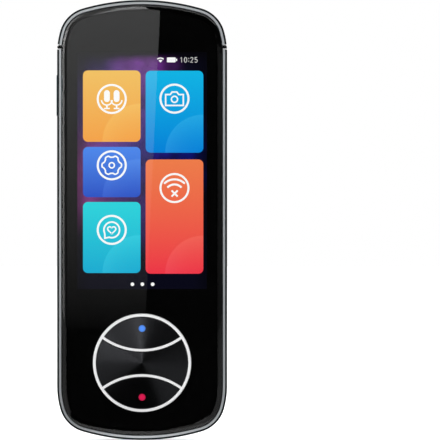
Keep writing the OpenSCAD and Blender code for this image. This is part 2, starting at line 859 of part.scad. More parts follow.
// The middle key, between the two bars
module middle_key() {
    color("dimgray") upright() {
        difference() {
            bevel_disc(0, pad_inner_r - key_gap, z_key, z_key_flange, 1);
            for (side = [-1, 1]) {
                bevel_disc(side * bar_c, bar_r + bar_w / 2 + key_gap, z_key, z_key_flange + cut, -1);
                peg(0, pad_y + side * bar_c, z_key - cut, z_key, bar_r);
            }
        }
        difference() {
            peg(0, pad_y, z_key_flange, z_key_back, pad_inner_r + key_flange_w);
            for (side = [-1, 1])
                peg(0, pad_y + side * bar_c, z_key_flange - cut, z_key_back + cut, bar_r + key_gap);
        }
        peg(0, pad_y, z_key_back, z_foot, key_foot_r);
    }
}

// A light dot: a clear pin with a collar behind its key
module light_guide(side) {
    y = pad_y + side * light_y;
    peg(0, y, z_key, z_key_back, light_r);
    peg(0, y, z_key_back, z_key_back + light_collar / 2, light_r + light_collar);
}

module blue_light_guide() {
    color("dodgerblue") upright() light_guide(1);
}

module red_light_guide() {
    color("crimson") upright() light_guide(-1);
}

// A rubber sheet over the domes, with a rim that stands on the board
module rubber_sheet() {
    rim = key_board_r - pad_inner_r;
    color("gainsboro") upright() difference() {
        peg(0, pad_y, z_rubber, z_key_board, key_board_r);
        peg(0, pad_y, z_rubber + rubber_t, z_key_board + cut, key_board_r - rim / 2);
        for (side = [-1, 1])
            peg(0, pad_y + side * light_y, z_rubber - cut, z_key_board, light_r - light_collar / 4);
    }
}

module snap_domes() {
    color("silver") upright() for (y = [-foot_y, 0, foot_y])
        translate([0, pad_y + y, z_key_board - dome_h]) cylinder(r1 = dome_r / 2, r2 = dome_r, h = dome_h);
}

// Size of a key lamp
key_lamp = [1.2, 0.7, 0.25];

module key_lamps() {
    color("lightyellow") upright() for (side = [-1, 1])
        translate([-key_lamp[0] / 2, pad_y + side * light_y - key_lamp[1] / 2, z_key_board - key_lamp[2]])
            cube(key_lamp);
}

// Tab at the lower edge of the key board, beside the port, where its ribbon is soldered
key_tab_w = 4;
key_tab_gap = 1.1;
key_tab_x = -port_w / 2 - port_room - key_tab_w / 2 - key_tab_gap;
key_tab_y = low_board_y0 + key_tab_w;

module key_board() {
    color("darkgreen") upright() {
        peg(0, pad_y, z_key_board, z_floor, key_board_r);
        block([key_tab_x - key_tab_w / 2, key_tab_y, z_key_board], [key_tab_x + key_tab_w / 2, pad_y, z_floor]);
    }
}

// The ribbon goes from the tab through the frame to the lower board
module key_ribbon() {
    x0 = key_tab_x - key_tab_w / 2;
    y0 = key_tab_y - ribbon_t;
    color("darkorange") upright() {
        block([x0, y0, z_key_board], [x0 + key_tab_w, key_tab_y, z_low_board]);
        block([x0, y0, z_low_board - ribbon_t], [x0 + key_tab_w, low_board_y1, z_low_board]);
    }
}

// ---------------------------------------------------------------- side button

// Levels of the button along x, from its outer face to the bracket
x_button = -half_w - button_proud;
x_button_flange = -half_w + wall + frame_gap / 2;
x_nub = x_button_flange + button_flange_t;
x_plunger = x_nub + nub_l + button_travel + frame_gap / 2;
x_switch = x_plunger + frame_gap;
// Wall of the frame between the screen and the button's pocket
pocket_wall = 0.5;
x_bracket = -panel_w / 2 - pocket_gap - bracket_t - pocket_wall;
// Length and width of the button's pocket and of the bracket in it
pocket_l = button_l + 2 * button_flange_w + 2 * pocket_gap;
pocket_w = button_w + 2 * button_flange_w + 2 * pocket_gap;

module side_button() {
    color("slategray") upright() {
        button_bar(0, x_button, x_button_flange);
        button_bar(button_flange_w, x_button_flange, x_nub);
        translate([x_nub, button_y, z_button]) rotate([0, 90, 0]) cylinder(r = nub_r, h = nub_l);
    }
}

module side_switch() {
    color("black") upright() {
        block([x_switch, button_y - switch_l / 2, z_button - switch_w / 2],
            [x_bracket, button_y + switch_l / 2, z_button + switch_w / 2]);
        translate([x_plunger, button_y, z_button]) rotate([0, 90, 0]) cylinder(r = nub_r, h = x_switch - x_plunger);
    }
}

module button_bracket() {
    color("lightgray") upright()
        block([x_bracket, button_y - pocket_l / 2 + frame_gap, z_button - switch_w / 2],
            [x_bracket + bracket_t, button_y + pocket_l / 2 - frame_gap, z_floor]);
}

// ---------------------------------------------------------------- inner frame

// Posts that carry the boards: x, y
post_side = 4.6;
post_x = board_x - post_side;
post_in = 2.4;
main_posts = [[-post_x, board_y0 + post_in], [post_x, board_y0 + post_in], [-post_x / 2, board_y1 - post_in]];
low_posts = [[-post_x, low_board_y1 - post_in], [post_x, low_board_y1 - post_in]];
// Pads that press the speaker onto its gasket, and their distance from its ends
pad_in = 4;
pad_x = speaker_w / 2 - pad_in;

module inner_frame() {
    inset = wall + frame_gap;
    pad_pocket_r = key_board_r + pocket_gap / 2;
    color("darkgray") upright() difference() {
        union() {
            outline_plate(inset, z_frame, z_plate);
            for (p = main_posts) peg(p[0], p[1], z_plate - floor_t / 2, z_board, boss_r);
            for (p = low_posts) peg(p[0], p[1], z_plate - floor_t / 2, z_low_board, boss_r);
            for (x = [-pad_x, pad_x]) peg(x, grille_y, z_plate - floor_t / 2, z_foam - speaker_t, boss_r);
        }
        // Pocket of the screen, with room for its ribbon
        block([-panel_w / 2 - pocket_gap, panel_y0 - pocket_gap, z_frame - cut],
            [panel_w / 2 + pocket_gap, panel_y1 + ribbon_room, z_floor]);
        block([-ribbon_w / 2 - pocket_gap, panel_y1 - pocket_gap, z_floor - cut],
            [ribbon_w / 2 + pocket_gap, panel_y1 + ribbon_room, z_plate + cut]);
        // Pocket of the key pad, with a slot for its ribbon
        peg(0, pad_y, z_frame - cut, z_floor, pad_pocket_r);
        block([key_tab_x - key_tab_w / 2 - pocket_gap, key_tab_y - ribbon_t - pocket_gap, z_key_board - pocket_gap],
            [key_tab_x + key_tab_w / 2 + pocket_gap, pad_y, z_floor]);
        block([key_tab_x - key_tab_w / 2 - pocket_gap, key_tab_y - ribbon_t - pocket_gap, z_floor - cut],
            [key_tab_x + key_tab_w / 2 + pocket_gap, key_tab_y + pocket_gap, z_plate + cut]);
        // Room for the port and for the lower microphone beside it
        block([-port_w / 2 - port_room, -cut, -port_h / 2 - pocket_gap],
            [port_w / 2 + port_room, port_sink + port_l + pocket_gap, z_plate + cut]);
        block([low_mic_x - mic_w / 2 - pocket_gap, -cut, -mic_hole_r - boot_wall - pocket_gap],
            [low_mic_x + mic_w / 2 + pocket_gap, low_mic_y0 + mic_w / 2 + pocket_gap, z_plate + cut]);
        // Pocket of the side button
        block([-half_w, button_y - pocket_l / 2, z_button - pocket_w / 2],
            [x_bracket + bracket_t, button_y + pocket_l / 2, z_floor]);
        // Frame screws, with their heads below the glass
        for (x = [-1, 1], y = screw_ys) {
            peg(x * screw_x, y, z_floor - cut, z_plate + cut, shank_r + screw_gap);
            peg(x * screw_x, y, z_frame - cut, z_floor, head_r + screw_gap);
        }
        for (p = main_posts) peg(p[0], p[1], z_floor - cut, z_board + cut, shank_r + screw_gap);
        for (p = low_posts) peg(p[0], p[1], z_floor - cut, z_low_board + cut, shank_r + screw_gap);
    }
}

// A screw that enters towards the back (dir 1) or towards the glass (dir -1), from its seat at z
module screw(x, y, z, length, dir) {
    translate([x, y, z]) mirror([0, 0, dir > 0 ? 0 : 1]) {
        cylinder(r = shank_r, h = length);
        translate([0, 0, -head_h]) difference() {
            cylinder(r = head_r, h = head_h);
            translate([0, 0, -cut]) cylinder(r = shank_r, h = cut + head_h / 2, $fn = 6);
        }
    }
}

module frame_screws() {
    color("gainsboro") upright() for (x = [-1, 1], y = screw_ys)
        screw(x * screw_x, y, z_floor, shank_l, 1);
}

module board_screws() {
    color("gainsboro") upright() {
        for (p = main_posts) screw(p[0], p[1], z_board_back, board_t + post_h, -1);
        for (p = low_posts) screw(p[0], p[1], z_low_board + board_t, board_t + post_h, -1);
    }
}

// ---------------------------------------------------------------- boards and battery

module main_board() {
    color("darkgreen") upright() difference() {
        intersection() {
            outline_plate(roll_r / 2, z_board, z_board_back);
            block([-board_x, board_y0, z_board - cut], [board_x, board_y1, z_board_back + cut]);
        }
        for (p = main_posts) peg(p[0], p[1], z_board - cut, z_board_back + cut, shank_r + screw_gap);
    }
}

// A pressed can over a group of chips, open towards its board
module shield_can(low, high) {
    difference() {
        block(low, high);
        block(low + [can_t, can_t, -cut], high - [can_t, can_t, can_t]);
    }
}

// Edges of the cans: they leave room for the battery's plug, the camera and the board's edges
plug_room = 5.4;
camera_room = 1.2;
can_margin = 2;
can_gap = 1.6;
can_y0 = board_y0 + plug_room;
can_y1 = strip_y - camera_w / 2 - camera_room;
can_x0 = can_gap / 2;
can_x1 = board_x - can_margin;

module processor_shield() {
    color("lightsteelblue") upright()
        shield_can([-can_x1, can_y0, z_board_back], [-can_x0, can_y1, z_board_back + can_h]);
}

module radio_shield() {
    color("lightsteelblue") upright()
        shield_can([can_x0, can_y0, z_board_back], [can_x1, can_y1, z_board_back + can_h]);
}

module lower_board() {
    color("darkgreen") upright() difference() {
        intersection() {
            outline_plate(low_board_inset, z_low_board, z_low_board + board_t);
            block([-board_x, low_board_y0, z_low_board - cut],
                [board_x, low_board_y1, z_low_board + board_t + cut]);
        }
        for (p = low_posts)
            peg(p[0], p[1], z_low_board - cut, z_low_board + board_t + cut, shank_r + screw_gap);
    }
}

// Place of the ribbon beside the battery, and its two ends
link_gap = 0.6;
link_x = battery_x0 + battery_w + link_gap;
link_y0 = low_board_y1 - socket_l;
link_y1 = board_y0 + socket_l;

// The long ribbon lies on the frame beside the battery and joins the two boards
module link_ribbon() {
    color("darkorange") upright()
        block([link_x, link_y0, z_plate], [link_x + link_w, link_y1, z_plate + ribbon_t]);
}

// Sockets: link ribbon at each board, and the screen's ribbon at the main board
module ribbon_sockets() {
    color("ivory") upright() {
        block([link_x, link_y0, z_plate + ribbon_t], [link_x + link_w, low_board_y1, z_low_board]);
        block([link_x, board_y0, z_plate + ribbon_t], [link_x + link_w, link_y1, z_board]);
        block([-ribbon_w / 2, ribbon_y0, z_board - socket_h], [ribbon_w / 2, ribbon_y0 + socket_l, z_board]);
    }
}

module battery() {
    z0 = z_plate + tape_t;
    color("silver") upright() translate([battery_x0 + battery_w / 2, battery_y, z0 + battery_t / 2])
        along_y(battery_l) round_rect(battery_w, battery_t, battery_r);
}

// Distance of the tape from the battery's edges
tape_margin = 4;

module battery_tape() {
    color("whitesmoke") upright()
        block([battery_x0 + tape_margin, battery_y + tape_margin, z_plate],
            [battery_x0 + battery_w - tape_margin, battery_y + battery_l - tape_margin, z_plate + tape_t]);
}

// Size and place of the battery's plug, beside a post, and thickness of its flat lead
plug = [5, 2.6, 1];
plug_x0 = boss_r - frame_gap - post_x;
plug_y0 = board_y0 + pocket_gap;
lead_t = 0.4;

// A flat lead from the battery's upper end to its plug on the main board
module battery_lead() {
    x1 = plug_x0 + plug[0];
    y1 = plug_y0 + plug[1];
    z_lead = z_board_back + plug[2];
    color("crimson") upright() {
        block([plug_x0, plug_y0, z_board_back], [x1, y1, z_lead]);
        block([plug_x0, battery_y + battery_l, z_lead], [x1, y1, z_lead + lead_t]);
    }
}

// ---------------------------------------------------------------- sound

// Corner radii of the speaker box and of the gasket's opening
speaker_r = 1;
foam_r = 0.4;
// Height of the gasket, whose foam lies half a millimetre outside the holes
foam_l = row_pitch * 2 + hole_d + 2 * foam_w + 1;

module speaker() {
    color("black") upright() translate([0, grille_y, 0])
        round_plate(speaker_w, speaker_l, speaker_r, z_foam - speaker_t, z_foam);
}

module speaker_gasket() {
    color("dimgray") upright() translate([0, grille_y, 0]) difference() {
        round_plate(speaker_w, foam_l, speaker_r, z_foam, z_mesh);
        round_plate(speaker_w - 2 * foam_w, foam_l - 2 * foam_w, foam_r, z_foam - cut, z_mesh + cut);
    }
}

module speaker_mesh() {
    color("black") upright() translate([0, grille_y, 0])
        round_plate(speaker_w, foam_l, speaker_r, z_mesh, z_inner);
}

module lower_microphone() {
    color("gold") upright()
        block([low_mic_x - mic_w / 2, low_mic_y0, z_low_board - low_mic_h],
            [low_mic_x + mic_w / 2, low_mic_y0 + mic_w / 2, z_low_board]);
}

// The rubber boot seals the lower microphone to its hole in the case
module lower_mic_boot() {
    color("darkslategray") upright() translate([low_mic_x, boot_seat_y, 0]) rotate([-90, 0, 0]) difference() {
        cylinder(r = mic_hole_r + boot_wall, h = low_mic_y0 - boot_seat_y);
        translate([0, 0, -cut]) cylinder(r = mic_hole_r, h = low_mic_y0);
    }
}

// ---------------------------------------------------------------- port

// Length of the block that closes the port behind its tongue
tongue_base = 2;

module usb_port() {
    color("lightgray") upright() difference() {
        port_opening(0, port_sink, port_sink + port_l);
        port_opening(-port_wall, port_sink - cut, port_sink + port_l + cut);
    }
}

module usb_tongue() {
    y1 = port_sink + port_l;
    color("black") upright() {
        block([-tongue_w / 2, y1 - tongue_base - tongue_l, -tongue_t / 2], [tongue_w / 2, y1, tongue_t / 2]);
        port_opening(-port_wall - bond_gap, y1 - tongue_base, y1);
    }
}

// ---------------------------------------------------------------- wireless

// Thickness of the antenna film and its distance from the carrier's edges
film_t = 0.15;
film_margin = 0.2;
// The antenna's carrier: height, distance from the outline, width, lower edge and upper face
carrier_h = 1.4;
carrier_inset = 2.5;
carrier_w = island_w + 2 * film_margin;
carrier_y0 = board_y1 + film_margin;
z_carrier = z_plate + carrier_h;

// A plastic block inside the upper end, which carries the antenna film
module antenna_carrier() {
    color("ivory") upright() intersection() {
        outline_plate(carrier_inset, z_plate, z_carrier);
        block([-carrier_w / 2, carrier_y0, z_plate], [carrier_w / 2, body_l, z_back]);
    }
}

module wifi_antenna() {
    color("darkgoldenrod") upright() intersection() {
        outline_plate(carrier_inset + film_margin, z_carrier, z_carrier + film_t);
        block([film_margin - carrier_w / 2, carrier_y0, z_plate], [carrier_w / 2 - film_margin, body_l, z_back]);
    }
}

// ---------------------------------------------------------------- pieces

rear_cover();
top_cap();
antenna_strip();
camera_ring();
camera_window();
lens_mount();
camera_lens();
flash_lens();
front_glass();
glass_adhesive();
key_ring();
upper_key();
middle_key();
lower_key();
blue_light_guide();
red_light_guide();
side_button();
button_bracket();
side_switch();
usb_port();
usb_tongue();
speaker_mesh();
speaker_gasket();
speaker();
inner_frame();
display_panel();
display_backlight();
display_ribbon();
rubber_sheet();
snap_domes();
key_lamps();
key_board();
key_ribbon();
main_board();
processor_shield();
radio_shield();
lower_board();
link_ribbon();
ribbon_sockets();
battery();
battery_tape();
battery_lead();
camera_module();
flash_lamp();
rear_microphone();
rear_mic_boot();
lower_microphone();
lower_mic_boot();
antenna_carrier();
wifi_antenna();
frame_screws();
board_screws();
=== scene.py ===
"""Looks of a handheld translator: curved-edge glass, lit screen, round key pad and metal case.

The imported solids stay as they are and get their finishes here. The printed border behind the
glass, the picture on the screen and the contacts of the charging port are added as thin pieces.
"""

import logging
import math
from collections.abc import Callable, Sequence
from dataclasses import dataclass, field
from enum import Enum
from typing import Any

import bpy
import numpy as np
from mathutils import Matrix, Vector
from mathutils.geometry import tessellate_polygon


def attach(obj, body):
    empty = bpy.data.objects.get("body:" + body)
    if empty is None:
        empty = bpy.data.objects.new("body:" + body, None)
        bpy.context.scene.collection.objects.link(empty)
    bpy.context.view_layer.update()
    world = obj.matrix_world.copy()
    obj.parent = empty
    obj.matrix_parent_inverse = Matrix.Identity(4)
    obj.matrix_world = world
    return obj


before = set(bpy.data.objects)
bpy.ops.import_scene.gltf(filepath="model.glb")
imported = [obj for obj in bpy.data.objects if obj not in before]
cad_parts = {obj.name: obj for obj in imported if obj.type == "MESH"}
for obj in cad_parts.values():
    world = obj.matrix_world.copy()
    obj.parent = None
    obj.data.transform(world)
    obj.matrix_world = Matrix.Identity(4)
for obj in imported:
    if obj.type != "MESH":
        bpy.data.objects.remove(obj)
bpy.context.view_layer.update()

Color = tuple[float, float, float]
Pair = tuple[float, float]
Loop = np.ndarray
Plate = tuple[np.ndarray, np.ndarray]
Node = bpy.types.Node
Socket = bpy.types.NodeSocket
Outputs = bpy.types.NodeOutputs

MM = 0.001
LOG = logging.getLogger("translator")

ISLAND_Z = 115.6 * MM
LENS = (0.25 * MM, ISLAND_Z)
FLASH = (6.95 * MM, ISLAND_Z)
PAD_Z = 22.7 * MM
LIGHT_RISE = 10.1 * MM
MIDDLE = (0.0, 0.0, 0.065)


def linear(red: int, green: int, blue: int) -> Color:
    """Turns a display colour into linear light.

    Args:
        red: its red, from 0 to 255.
        green: its green.
        blue: its blue.

    Returns:
        The three channels in linear light.
    """
    share = np.array([red, green, blue]) / 255
    low = share / 12.92
    high = ((share + 0.055) / 1.055) ** 2.4
    return tuple(float(v) for v in np.where(share <= 0.04045, low, high))


# ---------------------------------------------------------------- node trees


class Graph:
    """Adds nodes to one node tree and joins them."""

    def __init__(self, tree: bpy.types.NodeTree) -> None:
        """Keeps the tree that the nodes go into."""
        self.tree = tree

    def put(self, socket: Socket, value: Any) -> None:
        """Links the value to the socket where it is a socket too, and sets it otherwise.

        Args:
            socket: the input that gets the value.
            value: another socket, or what to set.
        """
        if isinstance(value, Socket):
            self.tree.links.new(value, socket)
        else:
            socket.default_value = value

    def add(self, kind: str, values: dict[Any, Any] | None = None, **settings: Any) -> Node:
        """Makes one node.

        Args:
            kind: Blender's name of the node type.
            values: what each input gets, by name or number: a socket is linked, anything else is set.
            settings: properties of the node itself.

        Returns:
            The new node.
        """
        node = self.tree.nodes.new(kind)
        for name, value in settings.items():
            setattr(node, name, value)
        for name, value in (values or {}).items():
            self.put(node.inputs[name], value)
        return node

    def math(self, operation: str, *values: Any) -> Socket:
        """Works out one sum on numbers and returns its result."""
        return self.add("ShaderNodeMath", dict(enumerate(values)), operation=operation).outputs[0]

    def vector(self, operation: str, *values: Any) -> Socket:
        """Works out one sum on vectors and returns its result."""
        return self.add("ShaderNodeVectorMath", dict(enumerate(values)), operation=operation).outputs[0]

    def scaled(self, vector: Any, share: Any) -> Socket:
        """Multiplies a vector or a colour by a number."""
        return self.add("ShaderNodeVectorMath", {0: vector, "Scale": share}, operation="SCALE").outputs[0]

    def length(self, operation: str, *values: Any) -> Socket:
        """Measures the LENGTH of a vector, or the DISTANCE between two points."""
        return self.add("ShaderNodeVectorMath", dict(enumerate(values)), operation=operation).outputs["Value"]

    def place(self) -> Socket:
        """Gives the point's own coordinates on the object, in metres."""
        return self.add("ShaderNodeTexCoord").outputs["Object"]

    def split(self, vector: Socket) -> Outputs:
        """Gives the three numbers of a vector."""
        return self.add("ShaderNodeSeparateXYZ", {0: vector}).outputs

    def distance(self, centre: Pair) -> Socket:
        """Gives the point's distance from an axis along the depth: the root of x squared plus z squared.

        Args:
            centre: the axis's x and z, in metres.

        Returns:
            The distance, in metres.
        """
        x, _, z = self.split(self.place())
        offsets = [self.math("SUBTRACT", value, middle) for value, middle in ((x, centre[0]), (z, centre[1]))]
        squares = [self.math("MULTIPLY", offset, offset) for offset in offsets]
        return self.math("SQRT", self.math("ADD", *squares))

    def step(self, value: Socket, start: float, end: float) -> Socket:
        """Gives a mask that runs smoothly from 0 at start to 1 at end."""
        values = {"Value": value, "From Min": start, "From Max": end}
        return self.add("ShaderNodeMapRange", values, interpolation_type="SMOOTHSTEP").outputs[0]

    def blend(self, mask: Any, first: Any, second: Any) -> Socket:
        """Mixes two colours by a mask.

        Args:
            mask: 0 for the first colour and 1 for the second.
            first: one colour, as a socket or as three numbers.
            second: the other colour.

        Returns:
            The mixed colour.
        """
        node = self.add("ShaderNodeMix", data_type="RGBA")
        self.put(node.inputs[0], mask)
        for index, value in ((6, first), (7, second)):
            self.put(node.inputs[index], value if isinstance(value, Socket) else (*value, 1.0))
        return node.outputs[2]


def shared_group(
    name: str, inputs: dict[str, float], outputs: dict[str, str],
    fill: Callable[[Graph, Outputs], dict[str, Socket]],
) -> bpy.types.NodeTree:
    """Makes a node group once, with named inputs and outputs.

    Args:
        name: the group's name.
        inputs: each input's name and its usual value.
        outputs: each output's name and its socket type.
        fill: adds the group's nodes and returns the socket for each output.

    Returns:
        The group, made now or before.
    """
    if name in bpy.data.node_groups:
        return bpy.data.node_groups[name]
    tree = bpy.data.node_groups.new(name, "ShaderNodeTree")
    for key, value in inputs.items():
        tree.interface.new_socket(key, in_out="INPUT", socket_type="NodeSocketFloat").default_value = value
    for key, kind in outputs.items():
        tree.interface.new_socket(key, in_out="OUTPUT", socket_type=kind)
    graph = Graph(tree)
    given = graph.add("NodeGroupInput").outputs
    graph.add("NodeGroupOutput", fill(graph, given))
    return tree


def grain_group() -> bpy.types.NodeTree:
    """Fine grain: a bump of small noise, and a tone that drifts slowly about 1.

    Returns:
        The group.
    """

    def fill(graph: Graph, given: Outputs) -> dict[str, Socket]:
        """Adds a fine and a broad noise on the object's own coordinates.

        Args:
            graph: the group's nodes.
            given: the group's inputs.

        Returns:
            The socket for each output.
        """
        place = graph.place()
        fine = graph.add("ShaderNodeTexNoise", {"Vector": place, "Scale": given["Scale"], "Detail": 2.0})
        broad = graph.add("ShaderNodeTexNoise", {"Vector": place, "Scale": 60.0, "Detail": 3.0})
        bump = {"Height": fine.outputs[0], "Distance": given["Depth"], "Strength": 1.0}
        drift = graph.math("SUBTRACT", broad.outputs[0], 0.5)
        tone = graph.math("MULTIPLY_ADD", drift, given["Drift"], 1.0)
        return {"Normal": graph.add("ShaderNodeBump", bump).outputs[0], "Tone": tone, "Fine": fine.outputs[0]}

    return shared_group(
        "SurfaceGrain", {"Scale": 6000.0, "Depth": 0.00001, "Drift": 0.15},
        {"Normal": "NodeSocketVector", "Tone": "NodeSocketFloat", "Fine": "NodeSocketFloat"}, fill,
    )


def groove_group() -> bpy.types.NodeTree:
    """Turned grooves about an axis along the depth: the normal leans along the radius in fine waves.

    Returns:
        The group.
    """

    def fill(graph: Graph, given: Outputs) -> dict[str, Socket]:
        """Leans the normal outwards by lean + depth * sin(2 pi r / pitch), with r from the axis.

        Args:
            graph: the group's nodes.
            given: the group's inputs.

        Returns:
            The socket for each output.
        """
        centre = graph.add("ShaderNodeCombineXYZ", {"X": given["Centre X"], "Z": given["Centre Z"]})
        offset = graph.vector("SUBTRACT", graph.place(), centre.outputs[0])
        flat = graph.vector("MULTIPLY", offset, (1.0, 0.0, 1.0))
        radius = graph.length("LENGTH", flat)
        turns = graph.math("DIVIDE", radius, given["Pitch"])
        wave = graph.math("SINE", graph.math("MULTIPLY", turns, 2 * math.pi))
        slope = graph.math("MULTIPLY_ADD", wave, given["Depth"], given["Lean"])
        tilt = graph.scaled(graph.vector("NORMALIZE", flat), slope)
        normal = graph.add("ShaderNodeNewGeometry").outputs["Normal"]
        return {"Normal": graph.vector("NORMALIZE", graph.vector("ADD", normal, tilt)), "Wave": wave}

    return shared_group(
        "TurnedGrooves",
        {"Centre X": 0.0, "Centre Z": 0.0, "Pitch": 0.0001, "Depth": 0.2, "Lean": 0.0},
        {"Normal": "NodeSocketVector", "Wave": "NodeSocketFloat"}, fill,
    )


# ---------------------------------------------------------------- finishes


def new_material(name: str) -> tuple[bpy.types.Material, Graph]:
    """Makes a material.

    Args:
        name: the material's name.

    Returns:
        The material, and the graph of its nodes.
    """
    material = bpy.data.materials.new(name)
    material.use_nodes = True
    return material, Graph(material.node_tree)


@dataclass(frozen=True)
class Look:
    """What every finish starts from: nodes, shader, grain, and the colour with its drift."""

    graph: Graph
    shader: Node
    grain: Node
    toned: Socket

    def put(self, name: str, value: Any) -> None:
        """Links or sets one of the shader's own sockets."""
        self.graph.put(self.shader.inputs[name], value)


@dataclass(frozen=True)
class Finish:
    """A surface with fine grain and a colour that drifts a little.

    The grain's scale is in waves per metre and its depth in metres.
    """

    name: str
    color: Color
    roughness: float = 0.5
    metallic: float = 0.0
    scale: float = 6000.0
    depth: float = 0.000004
    drift: float = 0.12
    coat: float = 0.0
    specular: float = 0.5

    def build(self) -> bpy.types.Material:
        """Makes the material once.

        Returns:
            The material, made now or before.
        """
        if self.name in bpy.data.materials:
            return bpy.data.materials[self.name]
        material, graph = new_material(self.name)
        values = {"Scale": self.scale, "Depth": self.depth, "Drift": self.drift}
        grain = graph.add("ShaderNodeGroup", values, node_tree=grain_group())
        toned = graph.scaled(self.color, grain.outputs["Tone"])
        look = Look(graph, material.node_tree.nodes["Principled BSDF"], grain, toned)
        for name, value in (
            ("Roughness", self.roughness), ("Metallic", self.metallic), ("Coat Weight", self.coat),
            ("Specular IOR Level", self.specular), ("Normal", grain.outputs["Normal"]), ("Base Color", toned),
        ):
            look.put(name, value)
        self.dress(look)
        return material

    def dress(self, look: Look) -> None:
        """Adds what one kind of finish has beyond the plain grain.

        Args:
            look: what the finish starts from.
        """


# The outline's arcs in millimetres: the middle of an end, a corner and a side's curved end. Each has the
# height of its centre from the nearer end.
BODY_H = 129.4
CROWN = (0.0, 62.6, 62.6)
CORNER = (14.84, 11.72, 9.6)
SHOULDER = (1.4, 15.64, 23.6)
CORNER_TURN = (-73.74, -16.26)


def inset(graph: Graph) -> Socket:
    """Gives how far a point lies inside the body's outline, in millimetres.

    The point is folded into one quarter: its side is |x|, and its height is measured from the nearer end.
    The depth is an arc's radius less the distance from the arc's centre, and the arc is the one whose
    stretch the point lies in. Past the curved end of a side, the height stays that of the arc's centre.

    Args:
        graph: the node tree that the sums go into.

    Returns:
        The depth.
    """
    x, _, z = graph.split(graph.vector("DIVIDE", graph.place(), (MM, MM, MM)))
    side = graph.math("ABSOLUTE", x)
    rise = graph.math("SUBTRACT", z, BODY_H / 2)
    height = graph.math("SUBTRACT", BODY_H / 2, graph.math("ABSOLUTE", rise))
    depths = []
    for across, up, radius in (SHOULDER, CORNER, CROWN):
        level = graph.math("MINIMUM", height, up)
        folded = graph.add("ShaderNodeCombineXYZ", {"X": side, "Z": level}).outputs[0]
        away = graph.length("DISTANCE", folded, (across, 0.0, up))
        depths.append(graph.math("SUBTRACT", radius, away))
    turn = math.radians(CORNER_TURN[1])
    in_corner = graph.math("LESS_THAN", height, CORNER[1] + CORNER[2] * math.sin(turn))
    turn = math.radians(CORNER_TURN[0])
    in_crown = graph.math("LESS_THAN", side, CORNER[0] + CORNER[2] * math.cos(turn))
    depth = depths[0]
    for mask, other in ((in_corner, depths[1]), (in_crown, depths[2])):
        depth = graph.math("MULTIPLY_ADD", mask, graph.math("SUBTRACT", other, depth), depth)
    return depth


@dataclass(frozen=True)
class CaseMetal(Finish):
    """Bead-blasted metal whose rim and slit bevels are polished, with painted shade round its front edge: a
    dark line in its colour.

    The rim and the painted shade are told apart by depth and by how far a point lies inside the outline, and
    the bevels by their height and their distance from the middle.
    """

    bright: Color = (0.6, 0.63, 0.65)
    polish: float = 0.4
    rim_from: float = -5.638 * MM
    rim_to: float = -5.648 * MM
    # Painted shade: the colour darkens between the two depths below to the share below, and stays dark on the
    # rim's outer line.
    painted_shade_from: float = -4.9 * MM
    painted_shade_to: float = -5.25 * MM
    painted_edge_shade: float = 0.08
    edge_tint: Color = (0.12, 0.13, 0.14)
    painted_line_w: float = 0.58
    painted_line_blur: float = 0.03
    bevel: Color = (0.96, 0.97, 0.98)
    bevel_rough: float = 0.7
    slit_reach: float = 0.82 * MM
    slit_blur: float = 0.06 * MM
    slit_side: float = 22.3 * MM
    side_blur: float = 0.2 * MM
    glint: float = 0.3
    speckle: float = 0.16
    smoothed: float = 0.85

    def dress(self, look: Look) -> None:
        """Paints shade near the front edge, and blends to the bright metal on the rim and beside the slit on
        the sides.

        Args:
            look: what the finish starts from.
        """
        graph, fine = look.graph, look.grain.outputs["Fine"]
        x, y, z = graph.split(graph.place())
        # Painted shade: the rim's outer line, less than the width below inside the outline, is left dark.
        line = graph.step(inset(graph), self.painted_line_w - self.painted_line_blur, self.painted_line_w + self.painted_line_blur)
        rim = graph.math("MULTIPLY", graph.step(y, self.rim_from, self.rim_to), line)
        across = graph.math("ABSOLUTE", graph.math("SUBTRACT", z, ISLAND_Z))
        near = graph.step(across, self.slit_reach, self.slit_reach - self.slit_blur)
        side = graph.step(graph.math("ABSOLUTE", x), self.slit_side, self.slit_side + self.side_blur)
        bevels = graph.math("MULTIPLY", near, side)
        glint = graph.math("MULTIPLY_ADD", graph.step(fine, 0.3, 0.7), self.glint, 1.0 - self.glint / 2)
        # Painted shade: the colour darkens towards the front edge.
        dark = graph.step(y, self.painted_shade_from, self.painted_shade_to)
        edge = graph.math("MULTIPLY_ADD", dark, self.painted_edge_shade - 1.0, 1.0)
        plain = graph.scaled(graph.scaled(look.toned, glint), edge)
        look.put("Base Color", graph.blend(bevels, graph.blend(rim, plain, self.bright), self.bevel))
        mask = graph.math("MAXIMUM", rim, bevels)
        depth = graph.math("MULTIPLY_ADD", mask, -self.smoothed * self.depth, self.depth)
        graph.put(look.grain.inputs["Depth"], depth)
        rough = graph.math("MULTIPLY_ADD", fine, self.speckle, self.roughness - self.speckle / 2)
        for part, level in ((rim, self.polish), (bevels, self.bevel_rough)):
            rough = graph.math("MULTIPLY_ADD", part, level - self.roughness, rough)
        look.put("Roughness", rough)
        look.put("Specular Tint", (*self.edge_tint, 1.0))


@dataclass(frozen=True)
class TurnedMetal(Finish):
    """Metal or plastic with fine turned grooves about one axis."""

    centre: Pair = (0.0, 0.0)
    pitch: float = 0.11 * MM
    groove: float = 0.3
    lean: float = 0.0
    # Painted light and shade on the grooves: the share by which the colour rises and falls with each wave.
    shade: float = 0.08

    def dress(self, look: Look) -> None:
        """Leans the normal in the grooves and paints light and shade on them: the colour is a little darker
        and lighter along each wave.

        Args:
            look: what the finish starts from.
        """
        names = ("Centre X", "Centre Z", "Pitch", "Depth", "Lean")
        values = dict(zip(names, (*self.centre, self.pitch, self.groove, self.lean), strict=True))
        turned = look.graph.add("ShaderNodeGroup", values, node_tree=groove_group()).outputs
        look.put("Normal", turned["Normal"])
        # Painted light and shade: the colour follows the groove wave.
        shade = look.graph.math("MULTIPLY_ADD", turned["Wave"], self.shade, 1.0)
        look.put("Base Color", look.graph.scaled(look.toned, shade))


